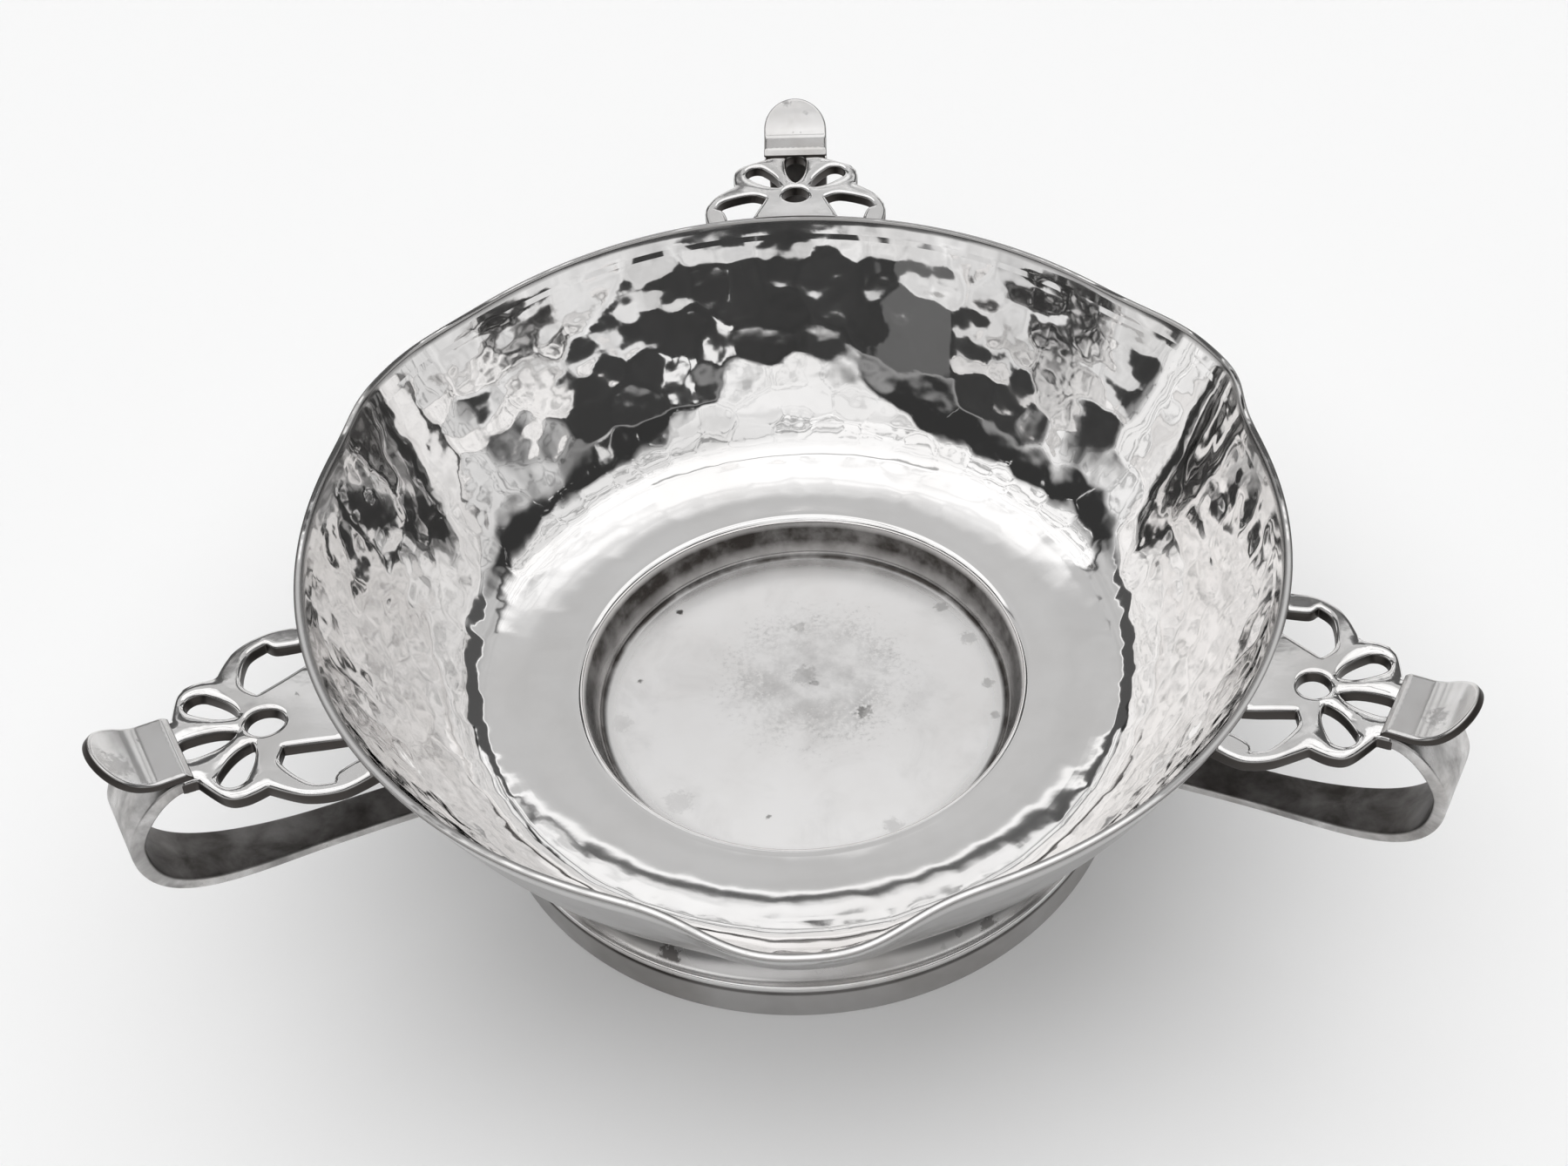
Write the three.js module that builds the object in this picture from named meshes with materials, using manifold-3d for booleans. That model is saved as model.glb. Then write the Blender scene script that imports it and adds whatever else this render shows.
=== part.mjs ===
// A hand-raised silver bowl on a spreading foot, with three pierced handles and three pouring lips.
// Millimetres, +Z up. The origin is the middle of the well's floor, on the bowl's axis.
import * as THREE from 'three';
import { mergeVertices } from 'three/addons/utils/BufferGeometryUtils.js';
import Module from 'manifold-3d';

const wasm = await Module();
wasm.setup();

const degrees = Math.PI / 180;

// The sheet that the bowl and its foot are raised from.
const bowlSheet = 1.2;
const footSheet = 1.2;

// Foot, from the table up.
const footRadius = 54.5;
const bandHeight = 6.4;
const bandThickness = 2.0;
const flangeThickness = 1.2;
const neckRadius = 47.8;
const neckHeight = 19.6;
const flangeSlope = 16 * degrees;
const neckSlope = 82 * degrees;

// Bowl: a shallow floor ring with a sunk well, then a wall that steepens towards the rim.
const floorRadius = 52.8;
const floorSlope = 5 * degrees;
const rimRadius = 76.1;
const rimSlope = 70 * degrees;
const wallRise = 38.3;
const wellRadius = 37.2;
const wellDepth = 7.7;
const wellDraft = 2.3;
const wellFillet = 1.0;

// Pouring lips, between the handles.
const lipReach = 4.8;
const lipDrop = 1.9;
const lipWidth = 10.7 * degrees;
const lipSharpness = 2.8;

// Handles: every size below is in the plate's own frame. X runs outwards along the plate's top face
// from the rim's outer edge, Z is square to that face.
const handleNames = ['back', 'left', 'right'];
const firstHandleAngle = 90 * degrees;
const plateTilt = 5.7 * degrees;
const plateThickness = 2.3;
const plateLength = 19.8;
const plateSunk = 3.5;
const rootHalfWidth = 15.6;
const lobeOut = 2.2;
const lobeHalfWidth = 16.6;
const lobeTurnOut = 6.6;
const lobeTurnHalfWidth = 15.1;
const cuspOut = 10.2;
const cuspHalfWidth = 11.3;
const outerLobeOut = 13.4;
const outerLobeHalfWidth = 11.6;
const outerTurnOut = 15.7;
const outerTurnHalfWidth = 10.4;
const shoulderOut = 17.9;

// The pierced flower: an eye, three petals beyond it and an opening on each side of the tongue.
const eyeOut = 7.0;
const eyeRadius = 2.5;
const petalAngles = [-48 * degrees, 0, 48 * degrees];
const petalStart = 3.8;
const petalEnd = 11.8;
const petalHalfWidth = 1.9;
const petalFlare = 1.6;
const tongueHalfWidth = 6.7;
const tongueRootHalfWidth = 8.0;
const openingTipOut = 6.3;
const openingTipHalfWidth = 5.5;
const openingOut = 7.4;
const limbWidth = 3.4;
const limbNotch = 1.4;
const limbNotchOut = 2.8;
const limbStep = 1.0;

// Thumb tab, laid on the plate's outer end and curled up at its tip.
const tabStart = 18.1;
const tabHalfWidth = 5.9;
const tabThickness = 1.2;
const tabChamfer = 0.9;
const tabTipOut = 29.2;
const tabTipRise = 5.1;
const tabTipHalfWidth = 0.65;
const tabFlat = 4.0;
const tabCurl = 47 * degrees;
const tabRound = 6.0;

// Strap: the ribbon that leaves the plate's outer end, turns down and back, and ends on the wall.
const strapTopThickness = 2.0;
const strapThickness = 1.6;
const strapTopHalfWidth = 5.8;
const strapEndHalfWidth = 3.4;
const strapTaperStart = 0.15;
const strapTaperEnd = 0.75;
const strapReach = 27.2;
const strapTurnDrop = 10.2;
const strapLegDrop = 26.0;
const strapLegSlope = 5 * degrees;
const strapShoulder = 3.9;
const strapTurnAbove = 2.9;
const strapTurnBelow = 15.3;
const strapLegRun = 19.4;
const strapLegEnd = -9.1;
const strapSunk = 7;

// Solder stands between the pieces.
const solderGap = 0.25;

// Fineness of the round shapes.
const ringSteps = 96;
const footSteps = 72;
const wallSteps = 9;
const footCurveSteps = 6;
const outlineSteps = 3;
const eyeSteps = 20;
const strapSteps = 40;
const tabSteps = 16;
const mergeDistance = 1e-4;
const leastStep = 1e-3;

const floorUnderside = (radius) => neckHeight + solderGap + (radius - neckRadius) * Math.tan(floorSlope);
const sheetRise = bowlSheet / Math.cos(floorSlope);
const floorTop = (radius) => floorUnderside(radius) + sheetRise;
const wellFloorHeight = floorTop(wellRadius) - wellDepth;
const rimHeight = floorUnderside(floorRadius) + wallRise;

// The point where a line from a at slopeA meets a line from b at slopeB.
function meetingPoint(a, slopeA, b, slopeB) {
  const run = (b.y - a.y - (b.x - a.x) * Math.tan(slopeB)) / (Math.tan(slopeA) - Math.tan(slopeB));
  return new THREE.Vector2(a.x + run, a.y + run * Math.tan(slopeA));
}

// A bend that leaves a at slopeA and arrives at b at slopeB.
function bend(a, slopeA, b, slopeB) {
  return new THREE.QuadraticBezierCurve(a, meetingPoint(a, slopeA, b, slopeB), b);
}

// Points along a curve, each moved to the curve's left by a distance.
function beside(curve, distance, steps) {
  const points = [];
  for (let i = 0; i <= steps; i += 1) {
    const along = curve.getTangent(i / steps);
    const point = curve.getPoint(i / steps);
    points.push(new THREE.Vector2(point.x - along.y * distance, point.y + along.x * distance));
  }
  return points;
}

// One closed body: shared corners merged, slivers at the poles dropped, faces pointing out.
function closedBody(geometry) {
  const bare = geometry.clone();
  bare.deleteAttribute('normal');
  bare.deleteAttribute('uv');
  const merged = mergeVertices(bare, mergeDistance);
  const place = merged.attributes.position;
  const corners = [];
  let volume = 0;
  for (let i = 0; i < merged.index.count; i += 3) {
    const three = [merged.index.getX(i), merged.index.getX(i + 1), merged.index.getX(i + 2)];
    if (new Set(three).size === 3) {
      const [a, b, c] = three.map((corner) => new THREE.Vector3().fromBufferAttribute(place, corner));
      volume += a.dot(b.cross(c));
      corners.push(three);
    }
  }
  merged.setIndex(corners.flatMap((three) => (volume < 0 ? [three[0], three[2], three[1]] : three)));
  return merged;
}

function toSolid(geometry) {
  const body = closedBody(geometry);
  const mesh = new wasm.Mesh({
    numProp: 3,
    vertProperties: new Float32Array(body.attributes.position.array),
    triVerts: new Uint32Array(body.index.array),
  });
  return new wasm.Manifold(mesh);
}

function toGeometry(solid) {
  const mesh = solid.getMesh();
  const geometry = new THREE.BufferGeometry();
  geometry.setAttribute('position', new THREE.BufferAttribute(new Float32Array(mesh.vertProperties), 3));
  geometry.setIndex(new THREE.BufferAttribute(new Uint32Array(mesh.triVerts), 1));
  return geometry;
}

// A profile of radius and height, turned about the upright axis.
function turned(profile, steps) {
  return new THREE.LatheGeometry(profile, steps).rotateX(Math.PI / 2);
}

const wallStart = new THREE.Vector2(floorRadius, floorUnderside(floorRadius));
const rimEdge = new THREE.Vector2(rimRadius, rimHeight);
const wallCurve = bend(wallStart, floorSlope, rimEdge, rimSlope);

// The bowl's section, from the axis under the well, up the outside, over the rim and back inside.
function bowlProfile() {
  const wellBottom = wellRadius - wellDraft;
  const underWell = wellFloorHeight - bowlSheet;
  const inside = beside(wallCurve, bowlSheet, wallSteps).slice(0, -1);
  const rimInside = new THREE.Vector2(rimRadius - bowlSheet / Math.sin(rimSlope), rimHeight);
  const outerShoulder = wellRadius + bowlSheet;
  return [
    new THREE.Vector2(0, underWell),
    new THREE.Vector2(wellBottom + bowlSheet, underWell),
    new THREE.Vector2(outerShoulder, floorUnderside(outerShoulder)),
    ...wallCurve.getPoints(wallSteps),
    rimInside,
    ...inside.reverse(),
    new THREE.Vector2(wellRadius + wellFillet, floorTop(wellRadius + wellFillet)),
    new THREE.Vector2(wellRadius, floorTop(wellRadius) - wellFillet / 2),
    new THREE.Vector2(wellBottom + wellFillet / 2, wellFloorHeight + wellFillet),
    new THREE.Vector2(wellBottom - wellFillet / 2, wellFloorHeight),
    new THREE.Vector2(0, wellFloorHeight),
  ];
}

// The lips are drawn out of the wall: full at the rim, none where the wall starts.
function drawLips(geometry) {
  const place = geometry.attributes.position;
  const spacing = (2 * Math.PI) / handleNames.length;
  const lipAngle = firstHandleAngle + spacing / 2;
  for (let i = 0; i < place.count; i += 1) {
    const radius = Math.hypot(place.getX(i), place.getY(i));
    const angle = Math.atan2(place.getY(i), place.getX(i));
    const turns = (angle - lipAngle) / spacing;
    const fromLip = Math.abs(turns - Math.round(turns)) * spacing;
    const share = Math.exp(-((fromLip / lipWidth) ** lipSharpness));
    const raised = radius > floorRadius ? Math.max(0, (place.getZ(i) - wallStart.y) / wallRise) : 0;
    const pulled = radius + lipReach * share * raised;
    place.setXYZ(
      i,
      pulled * Math.cos(angle),
      pulled * Math.sin(angle),
      place.getZ(i) - lipDrop * share * raised,
    );
  }
  return geometry;
}

// The foot's spreading sheet: flat on the band, curving in and up to the neck under the bowl.
function footRingGeometry() {
  const flangeTop = new THREE.Vector2(footRadius, bandHeight + flangeThickness);
  const neckTop = new THREE.Vector2(neckRadius, neckHeight);
  const flangeInside = new THREE.Vector2(footRadius - bandThickness, bandHeight);
  const neckInside = new THREE.Vector2(
    neckRadius - footSheet,
    neckHeight - footSheet * Math.tan(floorSlope),
  );
  const outside = bend(flangeTop, -flangeSlope, neckTop, -neckSlope).getPoints(footCurveSteps);
  const inside = bend(neckInside, -neckSlope, flangeInside, -flangeSlope).getPoints(footCurveSteps);
  const start = new THREE.Vector2(footRadius, bandHeight);
  return turned([start, ...outside, ...inside, start], footSteps);
}

function footBandGeometry() {
  const inner = footRadius - bandThickness;
  const corners = [
    [footRadius, 0],
    [footRadius, bandHeight],
    [inner, bandHeight],
    [inner, 0],
    [footRadius, 0],
  ];
  return turned(corners.map(([radius, height]) => new THREE.Vector2(radius, height)), footSteps);
}

// Where a handle stands on the rim, for a handle on the +X side.
const handleSeat = new THREE.Matrix4()
  .makeTranslation(rimRadius, 0, rimHeight)
  .multiply(new THREE.Matrix4().makeRotationY(-plateTilt));

// The bowl's outside, grown by the solder gap and carried up past the rim: what a handle must clear.
function bowlClearance() {
  const above = rimHeight + plateLength;
  const grown = wallCurve.getPoints(wallSteps).map(
    (point) => new THREE.Vector2(point.x + solderGap, point.y - solderGap),
  );
  const profile = [
    new THREE.Vector2(0, grown[0].y),
    ...grown,
    new THREE.Vector2(rimRadius + solderGap, above),
    new THREE.Vector2(0, above),
  ];
  return toSolid(turned(profile, ringSteps).applyMatrix4(handleSeat.clone().invert()));
}

// A path's points, counter-clockwise and none twice.
function outlinePoints(path) {
  const points = path.getPoints(outlineSteps);
  const apart = points.filter((point, i) => point.distanceTo(points[(i + 1) % points.length]) > leastStep);
  return THREE.ShapeUtils.isClockWise(apart) ? apart.reverse() : apart;
}

// A closed outline: a stretch of two points is straight, a longer one curves through its points.
function outlineThrough(stretches) {
  const shape = new THREE.Path();
  const [[first]] = stretches;
  shape.moveTo(first.x, first.y);
  for (const stretch of stretches) {
    if (stretch.length === 2) {
      shape.lineTo(stretch[1].x, stretch[1].y);
    } else {
      shape.splineThru(stretch.slice(1));
    }
  }
  return outlinePoints(shape);
}

const spot = (x, y) => new THREE.Vector2(x, y);
const mirrored = (points) => points.map((point) => spot(point.x, -point.y)).reverse();

// One side of the plate's edge: the root lobe, the cusp and the outer lobe up to the tab's shoulder.
const rootLobe = [
  spot(-plateSunk, rootHalfWidth),
  spot(lobeOut, lobeHalfWidth),
  spot(lobeTurnOut, lobeTurnHalfWidth),
  spot(cuspOut, cuspHalfWidth),
];
const outerLobe = [
  spot(cuspOut, cuspHalfWidth),
  spot(outerLobeOut, outerLobeHalfWidth),
  spot(outerTurnOut, outerTurnHalfWidth),
  spot(shoulderOut, tabHalfWidth),
];

function plateOutline() {
  const end = [spot(shoulderOut, tabHalfWidth), spot(plateLength, strapTopHalfWidth)];
  const across = [spot(plateLength, strapTopHalfWidth), spot(plateLength, -strapTopHalfWidth)];
  const root = [spot(-plateSunk, -rootHalfWidth), spot(-plateSunk, rootHalfWidth)];
  return outlineThrough([
    rootLobe,
    outerLobe,
    end,
    across,
    mirrored(end),
    mirrored(outerLobe),
    mirrored(rootLobe),
    root,
  ]);
}

// A petal that points at the eye: its sides flare from the point and join in a half circle.
function petalOutline(angle) {
  const roundOut = petalEnd - petalHalfWidth;
  const path = new THREE.Path();
  path.moveTo(petalStart, 0);
  path.quadraticCurveTo(petalStart + petalFlare, -petalHalfWidth, roundOut, -petalHalfWidth);
  path.absarc(roundOut, 0, petalHalfWidth, -Math.PI / 2, Math.PI / 2, false);
  path.quadraticCurveTo(petalStart + petalFlare, petalHalfWidth, petalStart, 0);
  return outlinePoints(path).map((point) => point.rotateAround(spot(0, 0), angle).add(spot(eyeOut, 0)));
}

// The opening between the tongue and a root limb. It runs in past the rim, so it stays open there.
function rootOpening() {
  const limbInside = lobeHalfWidth - limbWidth;
  const notch = spot(limbNotchOut, limbInside + limbNotch);
  const tip = spot(openingTipOut, openingTipHalfWidth);
  const openIn = spot(-plateSunk + limbStep, tongueRootHalfWidth);
  const limbIn = spot(-plateSunk + limbStep, limbInside - limbStep);
  return outlineThrough([
    [openIn, spot(limbNotchOut, tongueHalfWidth), tip],
    [
      tip,
      spot(openingOut, (openingTipHalfWidth + limbInside) / 2 - limbStep),
      spot(openingOut - 2 * limbStep, limbInside),
      notch,
    ],
    [notch, spot(limbNotchOut - limbStep, limbInside), limbIn],
    [limbIn, openIn],
  ]);
}

function handlePlateGeometry(clearance) {
  const shape = new THREE.Shape(plateOutline());
  const eye = new THREE.Path().absarc(eyeOut, 0, eyeRadius, 0, 2 * Math.PI, false);
  const opening = rootOpening();
  shape.holes.push(new THREE.Path(eye.getPoints(eyeSteps).slice(0, -1)));
  shape.holes.push(new THREE.Path(opening), new THREE.Path(mirrored(opening)));
  for (const angle of petalAngles) {
    shape.holes.push(new THREE.Path(petalOutline(angle)));
  }
  const slab = new THREE.ExtrudeGeometry(shape, { depth: plateThickness, bevelEnabled: false });
  slab.translate(0, 0, -plateThickness);
  return toGeometry(toSolid(slab).subtract(clearance));
}

// A ribbon along a curve in the XZ plane, with its own half-width and thickness at each step.
// The curve is the ribbon's middle line.
function ribbon(curve, steps, acrossSteps, halfWidthAt, thicknessAt, shareAt = (share) => share) {
  const geometry = new THREE.BoxGeometry(1, 2, 2, steps, acrossSteps, 1);
  const place = geometry.attributes.position;
  for (let i = 0; i < place.count; i += 1) {
    const share = shareAt(THREE.MathUtils.clamp(place.getX(i) + 0.5, 0, 1));
    const centre = curve.getPointAt(share);
    const along = curve.getTangentAt(share);
    const up = (place.getZ(i) * thicknessAt(share)) / 2;
    place.setXYZ(
      i,
      centre.x - along.y * up,
      place.getY(i) * halfWidthAt(share),
      centre.y + along.x * up,
    );
  }
  return geometry;
}

// The tab's middle line lies level over the plate's end, then curls up to the tip.
function thumbTabGeometry() {
  const level = solderGap + tabThickness / 2;
  const start = new THREE.Vector2(tabStart, level);
  const flatEnd = new THREE.Vector2(tabStart + tabFlat, level);
  const tip = new THREE.Vector2(tabTipOut, tabTipRise);
  const middle = new THREE.CurvePath();
  middle.add(new THREE.LineCurve(start, flatEnd));
  middle.add(bend(flatEnd, 0, tip, tabCurl));
  const length = middle.getLength();
  const halfWidthAt = (share) => {
    const past = Math.max(0, (share * length - (length - tabRound)) / tabRound);
    return Math.max(tabTipHalfWidth, tabHalfWidth * Math.sqrt(Math.max(0, 1 - past * past)));
  };
  const closerToTip = (share) => Math.sin((share * Math.PI) / 2);
  const slab = ribbon(middle, tabSteps, 2, halfWidthAt, () => tabThickness, closerToTip);
  const wedge = new THREE.BoxGeometry(2 * tabChamfer, 3 * tabHalfWidth, 2 * tabChamfer);
  wedge.rotateY(Math.PI / 4).translate(tabStart, 0, level + tabThickness / 2);
  return toGeometry(toSolid(slab).subtract(toSolid(wedge)));
}

// The strap's middle line: out from the plate's end, round a tight turn and back in under the plate.
function strapCurve() {
  const topLevel = -strapTopThickness / 2 - solderGap;
  const start = new THREE.Vector2(plateLength + solderGap, topLevel);
  const turn = new THREE.Vector2(strapReach, -strapTurnDrop);
  const inward = new THREE.Vector2(-Math.cos(strapLegSlope), -Math.sin(strapLegSlope));
  const legEnd = new THREE.Vector2(strapLegEnd, -strapLegDrop);
  const pastWall = legEnd.clone().addScaledVector(inward, strapSunk);
  const curve = new THREE.CurvePath();
  curve.add(
    new THREE.CubicBezierCurve(
      start,
      new THREE.Vector2(start.x + strapShoulder, start.y),
      new THREE.Vector2(turn.x, turn.y + strapTurnAbove),
      turn,
    ),
  );
  curve.add(
    new THREE.CubicBezierCurve(
      turn,
      new THREE.Vector2(turn.x, turn.y - strapTurnBelow),
      legEnd.clone().addScaledVector(inward, -strapLegRun),
      legEnd,
    ),
  );
  curve.add(new THREE.LineCurve(legEnd, pastWall));
  return curve;
}

function handleStrapGeometry(clearance) {
  const curve = strapCurve();
  const narrowing = (share) => THREE.MathUtils.smoothstep(share, strapTaperStart, strapTaperEnd);
  const halfWidthAt = (share) => THREE.MathUtils.lerp(strapTopHalfWidth, strapEndHalfWidth, narrowing(share));
  const thicknessAt = (share) => THREE.MathUtils.lerp(strapTopThickness, strapThickness, narrowing(share));
  return toGeometry(toSolid(ribbon(curve, strapSteps, 2, halfWidthAt, thicknessAt)).subtract(clearance));
}

const finishes = {
  bowl: { color: 0xd8d7d6, roughness: 0.12 },
  foot: { color: 0xb9b4ae, roughness: 0.3 },
  band: { color: 0xa09b96, roughness: 0.32 },
  plate: { color: 0xd4d3d2, roughness: 0.2 },
  tab: { color: 0xcdcccb, roughness: 0.22 },
  strap: { color: 0x9a9692, roughness: 0.35 },
};

function piece(name, geometry, finish) {
  const material = new THREE.MeshStandardMaterial({ ...finishes[finish], metalness: 1 });
  const mesh = new THREE.Mesh(geometry, material);
  mesh.name = name;
  return mesh;
}

const clearance = bowlClearance();
const plateGeometry = handlePlateGeometry(clearance);
const tabGeometry = closedBody(thumbTabGeometry());
const strapGeometry = handleStrapGeometry(clearance);

// A handle is a turned group: it goes round the axis first, then up to the rim and tilts with the plate.
function handle(name, angle) {
  const around = new THREE.Group();
  const seat = new THREE.Group();
  around.rotation.z = angle;
  seat.position.set(rimRadius, 0, rimHeight);
  seat.rotation.y = -plateTilt;
  seat.add(piece(`handle_plate_${name}`, plateGeometry, 'plate'));
  seat.add(piece(`thumb_tab_${name}`, tabGeometry, 'tab'));
  seat.add(piece(`handle_strap_${name}`, strapGeometry, 'strap'));
  around.add(seat);
  return around;
}

const footedBowl = new THREE.Group();
footedBowl.add(piece('bowl_body', closedBody(drawLips(turned(bowlProfile(), ringSteps))), 'bowl'));
footedBowl.add(piece('foot_ring', closedBody(footRingGeometry()), 'foot'));
footedBowl.add(piece('foot_band', closedBody(footBandGeometry()), 'band'));
handleNames.forEach((name, index) => {
  footedBowl.add(handle(name, firstHandleAngle + (index * 2 * Math.PI) / handleNames.length));
});
footedBowl.position.z = -wellFloorHeight;

export default footedBowl;
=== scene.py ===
import bpy
import numpy as np
from mathutils import Matrix, Vector
from mathutils.geometry import delaunay_2d_cdt


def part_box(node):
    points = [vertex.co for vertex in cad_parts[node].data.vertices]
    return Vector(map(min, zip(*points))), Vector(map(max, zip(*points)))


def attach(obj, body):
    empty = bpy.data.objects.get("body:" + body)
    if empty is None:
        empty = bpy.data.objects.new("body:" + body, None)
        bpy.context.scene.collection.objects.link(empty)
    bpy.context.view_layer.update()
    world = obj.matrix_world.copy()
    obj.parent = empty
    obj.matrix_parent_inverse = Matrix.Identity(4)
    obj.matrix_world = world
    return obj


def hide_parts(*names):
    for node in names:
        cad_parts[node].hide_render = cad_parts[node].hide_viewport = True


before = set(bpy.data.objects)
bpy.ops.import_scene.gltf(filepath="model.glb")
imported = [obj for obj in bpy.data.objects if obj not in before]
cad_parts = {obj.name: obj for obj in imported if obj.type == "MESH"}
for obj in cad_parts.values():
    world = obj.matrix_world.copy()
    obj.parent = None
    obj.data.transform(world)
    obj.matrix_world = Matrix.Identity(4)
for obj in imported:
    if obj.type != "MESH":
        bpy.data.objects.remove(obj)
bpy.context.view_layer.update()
mm = 0.001

# What the frame already fixes: the bowl's axis is Z, and the middle of the well's floor is at zero.
bowlLow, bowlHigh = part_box("bowl_body")
bandLow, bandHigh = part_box("foot_band")
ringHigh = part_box("foot_ring")[1]
rimRadius = bowlHigh.x
rimHeight = bowlHigh.z
sheet = -bowlLow.z
tableHeight = bandLow.z
footRadius = bandHigh.x
bandTop = bandHigh.z
neckTop = ringHigh.z
rimOverTable = rimHeight - tableHeight
print("frame: rim radius %.1f mm, rim %.1f mm over the table" % (rimRadius / mm, rimOverTable / mm))


# Angles are in degrees, and pixels are those of the whole picture.
cameraValues = dict(
    target=(16.78 * mm, 9.58 * mm, 17.57 * mm),
    azimuth=-2.05,
    elevation=45.28,
    roll=-0.50,
    distance=305.8 * mm,
    nearest=10 * mm,
    focalPixels=2080.7,
    axisPixel=(1033.4, 670.2),
    imagePixels=(1800, 1339),
)


# The camera stands back from the target along (sin a cos e, -cos a cos e, sin e), then rolls.
def makeCamera(v):
    a, e, roll = np.radians([v["azimuth"], v["elevation"], v["roll"]])
    back = np.array([np.sin(a) * np.cos(e), -np.cos(a) * np.cos(e), np.sin(e)])
    right = np.array([np.cos(a), np.sin(a), 0.0])
    up = np.cross(back, right)
    rolledRight = np.cos(roll) * right + np.sin(roll) * up
    rolledUp = np.cos(roll) * up - np.sin(roll) * right
    camera = bpy.data.objects.new("camera", bpy.data.cameras.new("camera"))
    bpy.context.scene.collection.objects.link(camera)
    turn = Matrix([rolledRight, rolledUp, back]).transposed().to_4x4()
    place = Vector(v["target"]) + Vector(back) * v["distance"]
    camera.matrix_world = Matrix.Translation(place) @ turn
    width, height = v["imagePixels"]
    camera.data.lens = camera.data.sensor_width * v["focalPixels"] / width
    camera.data.shift_x = (width / 2 - v["axisPixel"][0]) / width
    camera.data.shift_y = (v["axisPixel"][1] - height / 2) / width
    camera.data.clip_start = v["nearest"]
    bpy.context.scene.camera = camera


makeCamera(cameraValues)
print("camera: ready")


# A shader socket that Python's operators work on: values make Math nodes, and any other node comes
# from make.
class Wire:
    def __init__(self, tree, socket=None):
        self.tree = tree
        self.socket = socket

    def make(self, kind, settings=None, inputs=None, output=0):
        node = self.tree.nodes.new(kind)
        for key, value in (settings or {}).items():
            setattr(node, key, value)
        for key, value in (inputs or {}).items():
            self.feed(node.inputs[key], value)
        return Wire(self.tree, node.outputs[output])

    def feed(self, socket, value):
        if isinstance(value, Wire):
            self.tree.links.new(value.socket, socket)
        else:
            socket.default_value = value

    def math(self, operation, *values):
        return self.make("ShaderNodeMath", {"operation": operation}, dict(enumerate(values)))

    def __add__(self, other):
        return self.math("ADD", self, other)

    def __radd__(self, other):
        return self.math("ADD", other, self)

    def __sub__(self, other):
        return self.math("SUBTRACT", self, other)

    def __rsub__(self, other):
        return self.math("SUBTRACT", other, self)

    def __mul__(self, other):
        return self.math("MULTIPLY", self, other)

    def __rmul__(self, other):
        return self.math("MULTIPLY", other, self)

    def __truediv__(self, other):
        return self.math("DIVIDE", self, other)

    def __abs__(self):
        return self.math("ABSOLUTE", self)

    def larger(self, other):
        return self.math("MAXIMUM", self, other)

    def smaller(self, other):
        return self.math("MINIMUM", self, other)

    # A smooth step from 0 to 1 while the value goes from low to high.
    def rise(self, low, high):
        settings = {"interpolation_type": "SMOOTHSTEP"}
        inputs = {"Value": self, "From Min": low, "From Max": high}
        return self.make("ShaderNodeMapRange", settings, inputs)

    # 1 where the value is within half a width of the middle, falling to 0 over the soft edge.
    def stripe(self, middle, halfWidth, soft):
        return (abs(self - middle) - halfWidth).rise(soft, 0.0)

    # A level that goes from one value to another as this wire goes from 0 to 1.
    def blend(self, first, second):
        return first + self * (second - first)

    # A colour between two colours.
    def tint(self, first, second):
        settings = {"data_type": "RGBA"}
        return self.make("ShaderNodeMix", settings, {0: self, 6: first, 7: second}, 2)

    def xyz(self):
        node = self.make("ShaderNodeSeparateXYZ", inputs={0: self}).socket.node
        return [Wire(self.tree, socket) for socket in node.outputs]

    # Noise over a place, in features per metre.
    def noise(self, scale, detail=2.0, roughness=0.5, distortion=0.0):
        inputs = {"Vector": self, "Scale": scale, "Detail": detail, "Roughness": roughness}
        inputs["Distortion"] = distortion
        return self.make("ShaderNodeTexNoise", {"noise_dimensions": "3D"}, inputs)


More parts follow.
